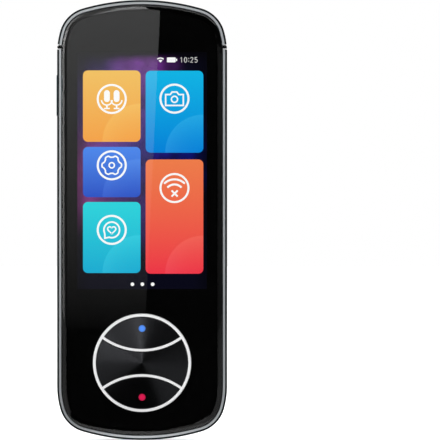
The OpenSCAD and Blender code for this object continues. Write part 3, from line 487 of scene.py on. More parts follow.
@dataclass(frozen=True)
class ClearGlass(Finish):
    """Clear glass with a slight smear in its polish."""

    ior: float = 1.5
    strokes: Color = (90.0, 90.0, 25.0)
    smear: float = 0.006

    def dress(self, look: Look) -> None:
        """Makes the body clear and lets faint wiping marks change the gloss.

        Args:
            look: what the finish starts from.
        """
        graph = look.graph
        look.put("Transmission Weight", 1.0)
        look.put("IOR", self.ior)
        stretch = graph.add("ShaderNodeMapping", {"Vector": graph.place(), "Scale": self.strokes}).outputs[0]
        noise = graph.add("ShaderNodeTexNoise", {"Vector": stretch, "Scale": 1.0, "Detail": 4.0}).outputs[0]
        mask = graph.step(noise, 0.55, 0.8)
        look.put("Roughness", graph.math("MULTIPLY_ADD", mask, self.smear, self.roughness))


@dataclass(frozen=True)
class LitPlastic(Finish):
    """Clear coloured plastic that glows, brightest in its middle."""

    centre: Pair = (0.0, 0.0)
    radius: float = 1.0 * MM
    glow: float = 0.8
    edge_glow: float = 0.55
    body: float = 0.2

    def dress(self, look: Look) -> None:
        """Adds light that falls off from the middle to the edge.

        Args:
            look: what the finish starts from.
        """
        graph = look.graph
        fall = graph.step(graph.distance(self.centre), 1.15 * self.radius, 0.3 * self.radius)
        dim = tuple(self.edge_glow * value for value in self.color)
        look.put("Base Color", graph.scaled(look.toned, self.body))
        look.put("Emission Color", graph.blend(fall, dim, self.color))
        look.put("Emission Strength", self.glow)


@dataclass(frozen=True)
class LensGlass(Finish):
    """Coated lens: dark red that sinks into black towards its edge.

    Each ring has its share of the radius and its colour.
    """

    centre: Pair = LENS
    radius: float = 1.5 * MM
    rings: tuple[tuple[float, Color], ...] = (
        (0.0, (0.04, 0.0, 0.002)), (0.25, (0.1, 0.002, 0.006)), (0.45, (0.13, 0.004, 0.008)),
        (0.72, (0.05, 0.004, 0.006)), (0.9, (0.008, 0.006, 0.008)),
    )

    def dress(self, look: Look) -> None:
        """Colours the coating in rings about the lens's axis.

        Args:
            look: what the finish starts from.
        """
        share = look.graph.math("DIVIDE", look.graph.distance(self.centre), self.radius)
        ramp = look.graph.add("ShaderNodeValToRGB", {"Fac": share})
        stops = ramp.color_ramp.elements
        for index, (spot, color) in enumerate(self.rings):
            stop = stops[index] if index < 2 else stops.new(spot)
            stop.position = spot
            stop.color = (*color, 1.0)
        look.put("Base Color", ramp.outputs[0])


@dataclass(frozen=True)
class WovenMesh(Finish):
    """Fine dust mesh: a weave of threads in two directions."""

    thread: float = 0.18 * MM
    relief: float = 0.03 * MM

    def dress(self, look: Look) -> None:
        """Raises the threads where either of two waves is high.

        Args:
            look: what the finish starts from.
        """
        graph = look.graph
        x, _, z = graph.split(graph.place())
        waves = [graph.math("SINE", graph.math("MULTIPLY", v, 2 * math.pi / self.thread)) for v in (x, z)]
        height = graph.math("MAXIMUM", *waves)
        bump = {"Height": height, "Distance": self.relief, "Strength": 1.0}
        look.put("Normal", graph.add("ShaderNodeBump", bump).outputs[0])
        look.put("Base Color", graph.blend(graph.step(height, -0.2, 0.6), (0.0, 0.0, 0.0), look.toned))


@dataclass(frozen=True)
class Picture(Finish):
    """Lit picture: its light comes from the tint that each vertex carries."""

    glow: float = 1.0

    def dress(self, look: Look) -> None:
        """Sends the tint out as light.

        Args:
            look: what the finish starts from.
        """
        tint = look.graph.add("ShaderNodeAttribute", attribute_name="tint")
        look.put("Emission Color", tint.outputs["Color"])
        look.put("Emission Strength", self.glow)


@dataclass(frozen=True)
class Nebula(Finish):
    """Lit backdrop of the screen: purple and blue clouds that sink into black.

    Each cloud has its spot, its radius and its tint. The clouds fade to faint at the sides, and are gone
    above the head.
    """

    glow: float = 1.0
    dark: Color = linear(8, 8, 24)
    black: Color = linear(4, 4, 9)
    clouds: tuple[tuple[Pair, float, Color], ...] = (
        ((0.5 * MM, 110.5 * MM), 13.0 * MM, linear(160, 70, 190)),
        ((-18.5 * MM, 78.0 * MM), 20.0 * MM, linear(160, 64, 150)),
        ((-4.0 * MM, 96.0 * MM), 24.0 * MM, linear(96, 60, 160)),
        ((9.0 * MM, 84.0 * MM), 16.0 * MM, linear(16, 28, 160)),
        ((-2.0 * MM, 70.0 * MM), 18.0 * MM, linear(60, 36, 110)),
    )
    sides: Pair = (18.9 * MM, 14.5 * MM)
    head: Pair = (113.8 * MM, 110.5 * MM)
    faint: float = 0.4

    def dress(self, look: Look) -> None:
        """Adds a cloud about each spot: a soft noise times a mask that falls with the distance.

        Args:
            look: what the finish starts from.
        """
        graph = look.graph
        noise = graph.add("ShaderNodeTexNoise", {"Vector": graph.place(), "Scale": 90.0, "Detail": 3.0})
        cloud = graph.step(noise.outputs[0], 0.2, 0.75)
        color: Any = self.dark
        for spot, radius, tint in self.clouds:
            near = graph.step(graph.distance(spot), radius, 0.1 * radius)
            color = graph.blend(graph.math("MULTIPLY", near, cloud), color, tint)
        x, _, z = graph.split(graph.place())
        inner = graph.step(graph.math("ABSOLUTE", x), *self.sides)
        shown = graph.math("MULTIPLY_ADD", inner, 1.0 - self.faint, self.faint)
        shown = graph.math("MULTIPLY", shown, graph.step(z, *self.head))
        look.put("Emission Color", graph.blend(shown, self.black, color))
        look.put("Emission Strength", self.glow)


CASE = CaseMetal("blasted_metal", (0.129, 0.166, 0.188), 0.36, 1.0, 2400.0, 0.000016, 0.1)
BLACK = Finish("matt_black", (0.002, 0.002, 0.0025), 0.5, 0.0, 9000.0, specular=0.03)
WHITE_RING = Finish("white_ring", (0.97, 0.975, 0.98), 0.24, 0.0, 3000.0, 0.000001, 0.02, 0.4)
CHROME = Finish("bright_ring", (0.86, 0.86, 0.85), 0.13, 1.0, 2500.0, 0.000001, 0.03)
GLASS = ClearGlass("clear_cover", (0.97, 0.98, 0.98), 0.0, 0.0, 800.0, 0.0, 0.0)
WINDOW = ClearGlass("clear_window", (0.93, 0.95, 0.96), 0.0, 0.0, 800.0, 0.0, 0.0)
LENS_RIM = TurnedMetal(
    "lens_rim", (0.06, 0.055, 0.055), 0.35, 1.0, centre=LENS, pitch=0.2 * MM, groove=0.25,
)
LENS_RED = LensGlass("lens_coating", (0.05, 0.004, 0.006), 0.12, 0.0, 500.0, 0.0, 0.0, specular=0.12)
FLASH_PLASTIC = TurnedMetal(
    "flash_cap", (0.96, 0.95, 0.84), 0.18, drift=0.03, coat=0.6, centre=FLASH, pitch=0.36 * MM, groove=0.18,
)
SPUN = TurnedMetal(
    "spun_metal", (0.034, 0.035, 0.038), 0.22, 1.0, drift=0.05, centre=(0.0, PAD_Z), groove=0.16, lean=0.17,
)
BLUE_DOT = LitPlastic("blue_dot", linear(85, 150, 255), 0.25, centre=(0.0, PAD_Z + LIGHT_RISE))
RED_DOT = LitPlastic("red_dot", linear(222, 8, 78), 0.25, centre=(0.0, PAD_Z - LIGHT_RISE))
STEEL = Finish("bare_steel", (0.55, 0.56, 0.57), 0.3, 1.0, 5000.0, 0.000003)
MESH = WovenMesh("speaker_cloth", (0.05, 0.05, 0.052), 0.6)
FRAME_METAL = Finish("frame_alloy", (0.035, 0.037, 0.04), 0.45, 0.7)
PANEL = Finish("screen_panel", (0.01, 0.01, 0.015), 0.2)
PALE = Finish("pale_resin", (0.78, 0.76, 0.68), 0.5)
FILM = Finish("ribbon_film", (0.5, 0.2, 0.03), 0.35, 0.0, 3000.0, 0.000002, 0.2)
RUBBER = Finish("soft_rubber", (0.03, 0.03, 0.03), 0.75, 0.0, 7000.0, 0.00001)
LAMP = Finish("lamp_body", (0.9, 0.75, 0.3), 0.3)
BOARD = Finish("board_green", (0.015, 0.12, 0.05), 0.35, 0.0, 1500.0, 0.00001, 0.3)
FOIL = Finish("foil_pouch", (0.6, 0.61, 0.62), 0.28, 1.0, 900.0, 0.00002)
LEAD = Finish("lead_sleeve", (0.5, 0.02, 0.02), 0.5)
GOLD = Finish("gilt", (0.8, 0.55, 0.2), 0.25, 1.0, 5000.0, 0.000002)
INK = Finish("printed_border", (0.0015, 0.0015, 0.0016), 0.6, 0.0, 9000.0, 0.000001, 0.2, specular=0.0)
PICTURE = Picture("screen_picture", (0.0, 0.0, 0.0), 0.6, specular=0.0)
NEBULA = Nebula("screen_backdrop", (0.0, 0.0, 0.0), 0.6, specular=0.0)

NODE_FINISHES: dict[Finish, tuple[str, ...]] = {
    CASE: ("rear_cover", "top_cap", "side_button"),
    BLACK: ("antenna_strip", "speaker", "usb_tongue", "side_switch", "camera_module"),
    WHITE_RING: ("key_ring",),
    CHROME: ("camera_ring",),
    GLASS: ("front_glass",),
    WINDOW: ("camera_window",),
    LENS_RIM: ("lens_mount",),
    LENS_RED: ("camera_lens",),
    FLASH_PLASTIC: ("flash_lens",),
    SPUN: ("upper_key", "middle_key", "lower_key"),
    BLUE_DOT: ("blue_light_guide",),
    RED_DOT: ("red_light_guide",),
    STEEL: ("button_bracket", "usb_port", "snap_domes", "frame_screws", "board_screws", "processor_shield",
            "radio_shield"),
    MESH: ("speaker_mesh",),
    FRAME_METAL: ("inner_frame",),
    PANEL: ("display_panel",),
    PALE: ("display_backlight", "ribbon_sockets", "antenna_carrier"),
    FILM: ("display_ribbon", "key_ribbon", "link_ribbon"),
    RUBBER: ("rubber_sheet", "rear_mic_boot", "lower_mic_boot", "speaker_gasket", "glass_adhesive",
             "battery_tape"),
    LAMP: ("key_lamps", "flash_lamp"),
    BOARD: ("key_board", "main_board", "lower_board"),
    FOIL: ("battery",),
    LEAD: ("battery_lead",),
    GOLD: ("rear_microphone", "lower_microphone", "wifi_antenna"),
}


def dress_nodes() -> None:
    """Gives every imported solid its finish."""
    for finish, names in NODE_FINISHES.items():
        for name in names:
            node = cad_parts[name]
            node.data.materials.clear()
            node.data.materials.append(finish.build())
            LOG.info("finish %s on %s", finish.name, name)


# ---------------------------------------------------------------- thin shapes


def circle(
    x: float, z: float, radius: float, count: int = 64, start: float = 0.0, end: float = 360.0,
) -> Loop:
    """Points on an arc: centre plus radius times (cos a, sin a), for a from start to end.

    Args:
        x: the centre's place across, in millimetres.
        z: its height.
        radius: the radius.
        count: how many points there are.
        start: the first angle, in degrees.
        end: the last angle. A whole circle leaves it out.

    Returns:
        The points.
    """
    whole = math.isclose(end - start, 360.0)
    angles = np.radians(np.linspace(start, end, count, endpoint=not whole))
    return np.column_stack([x + radius * np.cos(angles), z + radius * np.sin(angles)])


def round_rect(x0: float, x1: float, z0: float, z1: float, radius: float) -> Loop:
    """Outline of a rectangle with round corners: four quarter arcs one after the other.

    Args:
        x0: its left side, in millimetres.
        x1: its right side.
        z0: its lower end.
        z1: its upper end.
        radius: its corners' radius.

    Returns:
        The outline.
    """
    corners = ((x1, z1, 0.0), (x0, z1, 90.0), (x0, z0, 180.0), (x1, z0, 270.0))
    arcs = []
    for x, z, start in corners:
        inward_x = x - radius if x == x1 else x + radius
        inward_z = z - radius if z == z1 else z + radius
        arcs.append(circle(inward_x, inward_z, radius, 12, start, start + 90.0))
    return np.concatenate(arcs)


def wound(loop: Loop, forward: bool) -> Loop:
    """Turns a loop the right way round, by the sign of its area.

    Args:
        loop: the loop.
        forward: whether it has to run against the clock.

    Returns:
        The loop or its reverse.
    """
    following = np.roll(loop, -1, axis=0)
    area = np.sum(loop[:, 0] * following[:, 1] - following[:, 0] * loop[:, 1])
    return loop if (area > 0) == forward else loop[::-1]


def thicken(flat: Loop, tris: np.ndarray, rim: np.ndarray, after: np.ndarray, level: Pair) -> Plate:
    """Makes a filled shape a plate: two copies of it at two depths, joined by walls along its rim.

    Args:
        flat: the shape's points, as x and z in millimetres.
        tris: its triangles.
        rim: the numbers of the points along its rim.
        after: for each of them, the number of the next point.
        level: the depths of the plate's front and back, in millimetres.

    Returns:
        The vertices in metres and the triangles.
    """
    count = len(flat)
    walls = np.concatenate([
        np.column_stack([rim, rim + count, after + count]), np.column_stack([rim, after + count, after]),
    ])
    verts = np.column_stack([np.tile(flat[:, 0], 2), np.repeat(level, count), np.tile(flat[:, 1], 2)]) * MM
    return verts, np.concatenate([tris, tris[:, ::-1] + count, walls])


def slab(outer: Loop, holes: Sequence[Loop], level: Pair) -> Plate:
    """A flat plate with holes, filled with triangles between its loops.

    Args:
        outer: the outline, as x and z in millimetres.
        holes: the outlines of the holes.
        level: the depths of its front and back, in millimetres.

    Returns:
        The vertices in metres and the triangles.
    """
    loops = [wound(outer, True)] + [wound(hole, False) for hole in holes]
    flat = np.concatenate(loops)
    lists = [np.column_stack([loop, np.zeros(len(loop))]).tolist() for loop in loops]
    tris = np.array(tessellate_polygon(lists))
    a, b, c = flat[tris[:, 0]], flat[tris[:, 1]], flat[tris[:, 2]]
    area = (b[:, 0] - a[:, 0]) * (c[:, 1] - a[:, 1]) - (c[:, 0] - a[:, 0]) * (b[:, 1] - a[:, 1])
    tris = np.where((area > 0)[:, None], tris, tris[:, ::-1])
    starts = np.cumsum([0] + [len(loop) for loop in loops[:-1]])
    after = np.concatenate([
        start + np.roll(np.arange(len(loop)), -1) for start, loop in zip(starts, loops, strict=True)
    ])
    return thicken(flat, tris, np.arange(len(flat)), after, level)


def new_object(name: str, data: bpy.types.ID) -> bpy.types.Object:
    """Makes an object and links it to the scene.

    Args:
        name: the object's name.
        data: its mesh, lamp or camera.

    Returns:
        The object.
    """
    thing = bpy.data.objects.new(name, data)
    bpy.context.scene.collection.objects.link(thing)
    return thing


def make_piece(
    name: str, verts: np.ndarray, faces: np.ndarray, finish: Finish, slot: str,
) -> bpy.types.Object:
    """Puts arrays into a new mesh that rides on the case.

    Args:
        name: the piece's name.
        verts: its vertices, in metres.
        faces: its triangles or quads.
        finish: its finish.
        slot: the record's material slot meant for it; not used.

    Returns:
        The new object.
    """
    mesh = bpy.data.meshes.new(name)
    mesh.from_pydata(verts.tolist(), [], faces.tolist())
    mesh.update()
    mesh.materials.append(finish.build())
    piece = new_object(name, mesh)
    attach(piece, "case")
    LOG.info("piece %s: %d vertices", name, len(verts))
    return piece


@dataclass
class Drawing:
    """Thin lit shapes gathered into one mesh, each with a tint that may change with height."""

    verts: list[np.ndarray] = field(default_factory=list)
    faces: list[np.ndarray] = field(default_factory=list)
    tints: list[np.ndarray] = field(default_factory=list)
    sharpest: float = 0.6
    veil: Pair = (0.01, 0.09)
    lift: Pair = (0.15, 2.5)

    def gather(self, verts: np.ndarray, faces: np.ndarray, tints: np.ndarray) -> None:
        """Adds one plate, whose faces count on from the plates before it.

        Args:
            verts: its vertices, in metres.
            faces: its triangles.
            tints: its vertices' tints.
        """
        self.faces.append(faces + sum(len(v) for v in self.verts))
        self.verts.append(verts)
        self.tints.append(tints)

    def gleam(self, reach: Pair, level: Pair, tile: "Tile") -> None:
        """Adds a quarter disc about a tile's lower right corner, lightest along its arc.

        The plate is a polar grid: x + r cos a and z + r sin a, for a from 90 to 180 degrees. Its tint
        is the tile's own at that height, made lighter by a share that grows as the square of r.

        Args:
            reach: the radii between which the plate lies.
            level: the depths of its front and back.
            tile: the tile under it.
        """
        angles = np.radians(np.linspace(90, 180, 25))
        radius, angle = np.meshgrid(np.linspace(*reach, 9), angles, indexing="ij")
        grid = [tile.x1 + radius * np.cos(angle), tile.z0 + radius * np.sin(angle)]
        flat = np.stack(grid, axis=-1).reshape(-1, 2)
        index = np.arange(radius.size).reshape(radius.shape)
        a, b, c, d = (q.ravel() for q in (index[:-1, :-1], index[1:, :-1], index[1:, 1:], index[:-1, 1:]))
        tris = np.concatenate([np.column_stack([a, b, c]), np.column_stack([a, c, d])])
        rim = np.concatenate([index[0, ::-1], index[1:, 0], index[-1, 1:], index[-2:0:-1, -1]])
        height = np.clip((flat[:, 1] - tile.z0) / (tile.z1 - tile.z0), 0, 1)[:, None]
        tint = (1 - height) * np.array(tile.low) + height * np.array(tile.high)
        share = (self.veil[0] + self.veil[1] * (radius.ravel() / reach[1]) ** 2)[:, None]
        lighter = tint + share * (self.lift[0] + self.lift[1] * tint * (1 - tint))
        self.gather(*thicken(flat, tris, rim, np.roll(rim, -1), level), np.tile(lighter, (2, 1)))

    def fill(
        self, outer: Loop, level: Pair, low: Color, high: Color | None = None, span: Pair = (0.0, 1.0),
        holes: Sequence[Loop] = (),
    ) -> None:
        """Adds one filled shape.

        Args:
            outer: its outline in millimetres.
            level: the depths of its front and back.
            low: its tint at the lower end of span.
            high: its tint at the upper end, or None for one tint all over.
            span: the heights between which the tint changes, in millimetres.
            holes: the outlines of its holes.
        """
        verts, faces = slab(outer, holes, level)
        share = np.clip((verts[:, 2] / MM - span[0]) / (span[1] - span[0]), 0.0, 1.0)[:, None]
        top = np.array(low if high is None else high)
        self.gather(verts, faces, (1 - share) * np.array(low) + share * top)

    def stroke(self, path: Loop, width: float, level: Pair, tint: Color, closed: bool = False) -> None:
        """Adds a line of even width: the path moved half the width to both sides, with mitred corners.

        Args:
            path: the middle of the line.
            width: its width in millimetres.
            level: the depths of its front and back.
            tint: its tint.
            closed: whether the line's end joins its start.
        """
        ahead = np.roll(path, -1, axis=0) - path
        behind = path - np.roll(path, 1, axis=0)
        if not closed:
            ahead[-1], behind[0] = behind[-1], ahead[0]
        first, second = (
            np.column_stack([run[:, 1], -run[:, 0]]) / np.linalg.norm(run, axis=1)[:, None]
            for run in (behind, ahead)
        )
        share = np.maximum(1 + np.sum(first * second, axis=1), self.sharpest)[:, None]
        side = (first + second) / share * width / 2
        if closed:
            edges = sorted((path + side, path - side), key=lambda loop: -np.ptp(loop[:, 0]))
            self.fill(edges[0], level, tint, holes=[edges[1]])
        else:
            self.fill(np.concatenate([path + side, (path - side)[::-1]]), level, tint)

    def make(self, name: str) -> bpy.types.Object:
        """Makes the piece and gives each vertex its tint.

        Args:
            name: the piece's name.

        Returns:
            The piece.
        """
        verts, faces = np.concatenate(self.verts), np.concatenate(self.faces)
        piece = make_piece(name, verts, faces, PICTURE, "panel")
        tints = np.concatenate(self.tints)
        values = np.column_stack([tints, np.ones(len(tints))]).astype(np.float32)
        piece.data.attributes.new("tint", "FLOAT_COLOR", "POINT").data.foreach_set("color", values.ravel())
        return piece


def corner_line(points: Sequence[Pair], x: float, z: float, size: float = 1.0) -> Loop:
    """A path through corner points, scaled and moved to its place."""
    return np.array(points, dtype=float) * size + (x, z)


# ---------------------------------------------------------------- screen


class Symbol(Enum):
    """The generic signs on the tiles of the screen."""

    VOICES = "voices"
    CAMERA = "camera"
    SETTINGS = "settings"
    OFFLINE = "offline"
    KEPT = "kept"


@dataclass(frozen=True)
class Tile:
    """One tile on the screen, in millimetres, with its tints and its sign."""

    x0: float
    x1: float
    z0: float
    z1: float
    low: Color
    high: Color
    symbol: Symbol
    sign_z: float


LEFT = (-17.4, -0.46)
RIGHT = (1.04, 18.0)
TILES = (
    Tile(*LEFT, 87.7, 108.7, linear(252, 164, 60), linear(248, 196, 90), Symbol.VOICES, 100.3),
    Tile(*RIGHT, 84.5, 108.6, linear(6, 134, 224), linear(18, 188, 238), Symbol.CAMERA, 100.4),
    Tile(*LEFT, 71.4, 86.2, linear(28, 78, 200), linear(68, 136, 242), Symbol.SETTINGS, 80.8),
    Tile(*RIGHT, 48.9, 82.5, linear(248, 56, 74), linear(248, 130, 78), Symbol.OFFLINE, 74.1),
    Tile(*LEFT, 49.1, 70.0, linear(12, 176, 216), linear(28, 218, 226), Symbol.KEPT, 61.8),
)


@dataclass
class Screen:
    """The printed border behind the glass and the lit picture in its window."""

    half_w: float = 19.05
    z0: float = 44.4
    z1: float = 114.1
    window_r: float = 0.15
    overlap: float = 0.2
    border_inset: float = 1.68
    pad_hole: tuple[float, float, float] = (0.0, 22.7, 14.5)
    ink: Pair = (-4.998, -4.984)
    sign_level: Pair = (-4.965, -4.955)
    glow_level: Pair = (-4.945, -4.935)
    tile_level: Pair = (-4.925, -4.915)
    back_level: Pair = (-4.9, -4.87)
    tile_r: float = 1.47
    glow_r: float = 11.2
    sign_r: float = 4.12
    line: float = 0.6
    white: Color = (1.04, 1.04, 1.03)
    status_z: float = 111.8
    fan_x: float = 5.4
    digit_line: float = 0.16
    digit_size: float = 0.72
    digit_light: float = 0.8
    dots_z: float = 45.8

    def outline(self, margin: float) -> Loop:
        """The body's outline, drawn in: a crown, a corner and a shoulder arc in each quarter.

        Args:
            margin: how far it is drawn in, in millimetres.

        Returns:
            The outline.
        """
        turns = ((-90.0, CORNER_TURN[0]), CORNER_TURN, (CORNER_TURN[1], 0.0))
        shapes = zip((CROWN, CORNER, SHOULDER), turns, strict=True)
        right = np.concatenate([circle(x, z, radius - margin, 24, *turn) for (x, z, radius), turn in shapes])
        lower = np.concatenate([(right * (-1, 1))[::-1], right[1:]])
        return np.concatenate([lower, (lower * (1, -1) + (0, BODY_H))[::-1]])

    def make_border(self) -> None:
        """Makes the black print, with the window and the hole for the key pad."""
        window = round_rect(-self.half_w, self.half_w, self.z0, self.z1, self.window_r)
        verts, faces = slab(self.outline(self.border_inset), [window, circle(*self.pad_hole, 128)], self.ink)
        make_piece("printed_border", verts, faces, INK, "cover_glass")

    def make_backdrop(self) -> None:
        """Makes the backdrop of the picture, which reaches a little past the window."""
        half_w, more = self.half_w + self.overlap, self.overlap
        sheet = round_rect(-half_w, half_w, self.z0 - more, self.z1 + more, self.window_r)
        make_piece("screen_backdrop", *slab(sheet, [], self.back_level), NEBULA, "panel")

    def make_tiles(self) -> None:
        """Makes the tiles, each with a quarter disc of lighter tint in its lower corner."""
        drawing = Drawing()
        for tile in TILES:
            span = (tile.z0, tile.z1)
            shape = round_rect(tile.x0, tile.x1, *span, self.tile_r)
            drawing.fill(shape, self.tile_level, tile.low, tile.high, span)
            drawing.gleam((self.tile_r, self.glow_r), self.glow_level, tile)
        drawing.make("screen_tiles")

    def draw_sign(self, drawing: Drawing, tile: Tile) -> None:
        """Draws a ring about the middle of the tile, and the tile's sign in it.

        Every size is in millimetres, and every point is taken from the middle of the ring.

        Args:
            drawing: what the lines go into.
            tile: the tile that the sign is for.
        """
        x, z, level, white = (tile.x0 + tile.x1) / 2, tile.sign_z, self.sign_level, self.white

        def draw(path: Loop, width: float, closed: bool = False) -> None:
            """Adds one white line."""
            drawing.stroke(path, width, level, white, closed)

        draw(circle(x, z, self.sign_r), self.line, True)
        match tile.symbol:
            case Symbol.VOICES:
                for side in (x - 1.42, x + 1.42):
                    drawing.fill(round_rect(side - 0.85, side + 0.85, z - 0.9, z + 2.6, 0.85), level, white)
                    draw(circle(side, z - 0.2, 1.6, 24, 185.0, 355.0), 0.4)
                    draw(corner_line([(0, -1.7), (0, -2.7)], side, z), 0.5)
                    draw(corner_line([(-0.85, -2.8), (0.85, -2.8)], side, z), 0.4)
            case Symbol.CAMERA:
                body = [(-2.6, -2.0), (2.6, -2.0), (2.6, 1.2), (1.25, 1.2), (0.7, 1.95), (-0.7, 1.95),
                        (-1.25, 1.2), (-2.6, 1.2)]
                draw(corner_line(body, x, z), 0.45, True)
                draw(circle(x, z - 0.2, 0.9), 0.42, True)
            case Symbol.SETTINGS:
                turn = np.linspace(0, 2 * np.pi, 144, endpoint=False)
                reach = 2.62 - 0.27 * np.tanh(1.8 * np.cos(6 * turn))
                draw(np.column_stack([x + reach * np.sin(turn), z + reach * np.cos(turn)]), 0.45, True)
                draw(circle(x, z, 0.78), 0.42, True)
            case Symbol.OFFLINE:
                draw(circle(x, z - 1.75, 4.3, 32, 45.0, 135.0), 0.6)
                draw(circle(x, z - 1.75, 2.8, 32, 42.0, 138.0), 0.6)
                for side in (-1, 1):
                    draw(corner_line([(-side, 1.0), (side, -1.0)], x + 0.05, z - 1.6, 0.9), 0.55)
            case Symbol.KEPT:
                bubble = np.concatenate([circle(x, z, 2.3, 56, -110.0, 205.0), [(x - 2.0, z - 2.45)]])
                draw(bubble, 0.48, True)
                turn = np.linspace(0, 2 * np.pi, 72, endpoint=False)
                across = 16 * np.sin(turn) ** 3
                up = 13 * np.cos(turn) - 5 * np.cos(2 * turn) - 2 * np.cos(3 * turn) - np.cos(4 * turn)
                draw(np.column_stack([x + 0.075 * across, z + 0.075 * up]), 0.4, True)

    def draw_status(self, drawing: Drawing) -> None:
        """Draws the status row: reception, charge, a plain clock, and the page dots below.

        Args:
            drawing: what the shapes go into.
        """
        level, white, x, z = self.sign_level, self.white, self.fan_x, self.status_z
        dim = tuple(self.digit_light * value for value in white)
        fan = np.concatenate([circle(x, z - 0.75, 0.8, 12, 45.0, 135.0), [(x, z - 0.8)]])
        battery = round_rect(7.3, 9.85, z - 0.72, z + 0.72, 0.2)
        for shape in (fan, battery, round_rect(9.95, 10.3, z - 0.35, z + 0.35, 0.12)):
            drawing.fill(shape, level, white)
        drawing.stroke(circle(x, z - 0.75, 1.3, 20, 45.0, 135.0), 0.34, level, white)
        bow = circle(-0.04, -0.4, 0.6, 18, 112.0, -140.0)
        digits = {
            "0": circle(0.0, 0.0, 1.0, 32) * (0.52, 1.0),
            "1": np.array([(-0.4, 0.6), (0.1, 1.0), (0.1, -1.0)]),
            "2": np.concatenate([circle(0.0, 0.5, 0.5, 16, 170.0, -35.0), [(-0.5, -1.0), (0.55, -1.0)]]),
            "5": np.concatenate([[(0.45, 1.0), (-0.35, 1.0), (-0.42, 0.15)], bow]),
        }
        for x, name in ((11.55, "1"), (12.77, "0"), (14.6, "2"), (15.85, "5")):
            path = corner_line(digits[name], x, z, self.digit_size)
            drawing.stroke(path, self.digit_line, level, dim, name == "0")
        for up in (-0.42, 0.42):
            drawing.fill(circle(13.7, z + up, 0.13, 16), level, dim)
        for x in (-2.85, 0.07, 3.1):
            drawing.fill(circle(x, self.dots_z, 0.53, 32), level, white)

    def build(self) -> None:
        """Makes the border and the picture."""
        self.make_border()
        self.make_backdrop()
        self.make_tiles()
        drawing = Drawing()
        for tile in TILES:
            self.draw_sign(drawing, tile)
        self.draw_status(drawing)
        drawing.make("screen_signs")


@dataclass
class PortContacts:
    """The contact strips on both faces of the charging port's tongue."""

    count: int = 12
    pitch: float = 0.5
    width: float = 0.26
    start: float = 1.85
    length: float = 3.4
    face: float = 0.35
    rise: float = 0.02

    def build(self) -> None:
        """Repeats one flat bar along the width on both faces, as one array of boxes."""
        middles = (np.arange(self.count) - (self.count - 1) / 2) * self.pitch
        side, place = np.meshgrid([-1.0, 1.0], middles, indexing="ij")
        corner = np.array([(x, y, z) for x in (0, 1) for y in (0, 1) for z in (0, 1)], dtype=float)
        x = place.ravel()[:, None] + (corner[:, 0] - 0.5) * self.width
        y = side.ravel()[:, None] * (self.face - self.rise / 2 + corner[:, 1] * self.rise)
        z = self.start + np.broadcast_to(corner[:, 2] * self.length, x.shape)
        verts = np.stack([x, y, z], axis=-1)
        quads = np.array([(0, 1, 3, 2), (4, 6, 7, 5), (0, 4, 5, 1), (2, 3, 7, 6), (0, 2, 6, 4), (1, 5, 7, 3)])
        turned = np.where((side.ravel() > 0)[:, None, None], quads, quads[:, ::-1])
        faces = turned + 8 * np.arange(len(verts))[:, None, None]
        make_piece("port_contacts", verts.reshape(-1, 3) * MM, faces.reshape(-1, 4), GOLD, "gold_plate")


# ---------------------------------------------------------------- studio


@dataclass(frozen=True)
class Softbox:
    """An area lamp: where it stands, its size and how bright its face is."""

    name: str
    place: tuple[float, float, float]
    width: float
    height: float
    radiance: float

    def build(self) -> None:
        """Makes the lamp and aims it at the middle of the object."""
        lamp = bpy.data.lights.new(self.name, "AREA")
        lamp.shape = "RECTANGLE"
        lamp.size, lamp.size_y = self.width, self.height
        lamp.energy = self.radiance * math.pi * self.width * self.height
        holder = new_object(self.name, lamp)
        holder.location = self.place
        aim = Vector(MIDDLE) - Vector(self.place)
        holder.rotation_euler = aim.to_track_quat("-Z", "Y").to_euler()


@dataclass(frozen=True)
class Card:
    """A flat card seen only in reflections: its corners, and its light at its low and high ends."""

    name: str
    corners: tuple[tuple[float, float, float], ...]
    low: float
    high: float

    @classmethod
    def wall(cls, name: str, y: float, points: Sequence[Pair], low: float, high: float) -> "Card":
        """Stands a card square to the depth at y, with its corners' x and z."""
        return cls(name, tuple((x, y, z) for x, z in points), low, high)

    @classmethod
    def floor(cls, name: str, lift: float, points: Sequence[Pair], low: float, high: float) -> "Card":
        """Lays a card just above the floor, with its corners' x and y."""
        return cls(name, tuple((x, y, lift) for x, y in points), low, high)

    @classmethod
    def upright(cls, name: str, sides: Sequence[Pair], heights: Pair, low: float, high: float) -> "Card":
        """Stands a card on edge between two sides' x and y, and between two heights."""
        corners = tuple((*sides[i], heights[j]) for i, j in ((0, 0), (1, 0), (1, 1), (0, 1)))
        return cls(name, corners, low, high)

    @classmethod
    def standing(
        cls, name: str, reach: float, turns: Pair, heights: Pair, low: float, high: float,
    ) -> "Card":
        """Stands a card on edge round the object.

        Args:
            name: the card's name.
            reach: its distance from the object, in metres.
            turns: the directions of its two sides, in degrees from the front towards the right.
            heights: the heights of its lower and upper edges.
            low: its light along the lower edge.
            high: its light along the upper edge.

        Returns:
            The card.
        """
        sides = [(reach * math.sin(math.radians(a)), -reach * math.cos(math.radians(a))) for a in turns]
        return cls.upright(name, sides, heights, low, high)

    def build(self) -> None:
        """Makes the card, with its light changing evenly from the first edge to the last."""
        mesh = bpy.data.meshes.new(self.name)
        mesh.from_pydata(self.corners, [], [(0, 1, 2, 3)])
        values = np.array([self.low, self.low, self.high, self.high], dtype=np.float32)
        mesh.attributes.new("light", "FLOAT", "POINT").data.foreach_set("value", values)
        material, graph = new_material(self.name)
        graph.tree.nodes.clear()
        light = graph.add("ShaderNodeAttribute", attribute_name="light").outputs["Fac"]
        glow = graph.add("ShaderNodeEmission", {"Strength": light})
        graph.add("ShaderNodeOutputMaterial", {"Surface": glow.outputs[0]})
        mesh.materials.append(material)
        card = new_object(self.name, mesh)
        card.visible_camera = False
        card.visible_diffuse = False
        card.visible_shadow = False


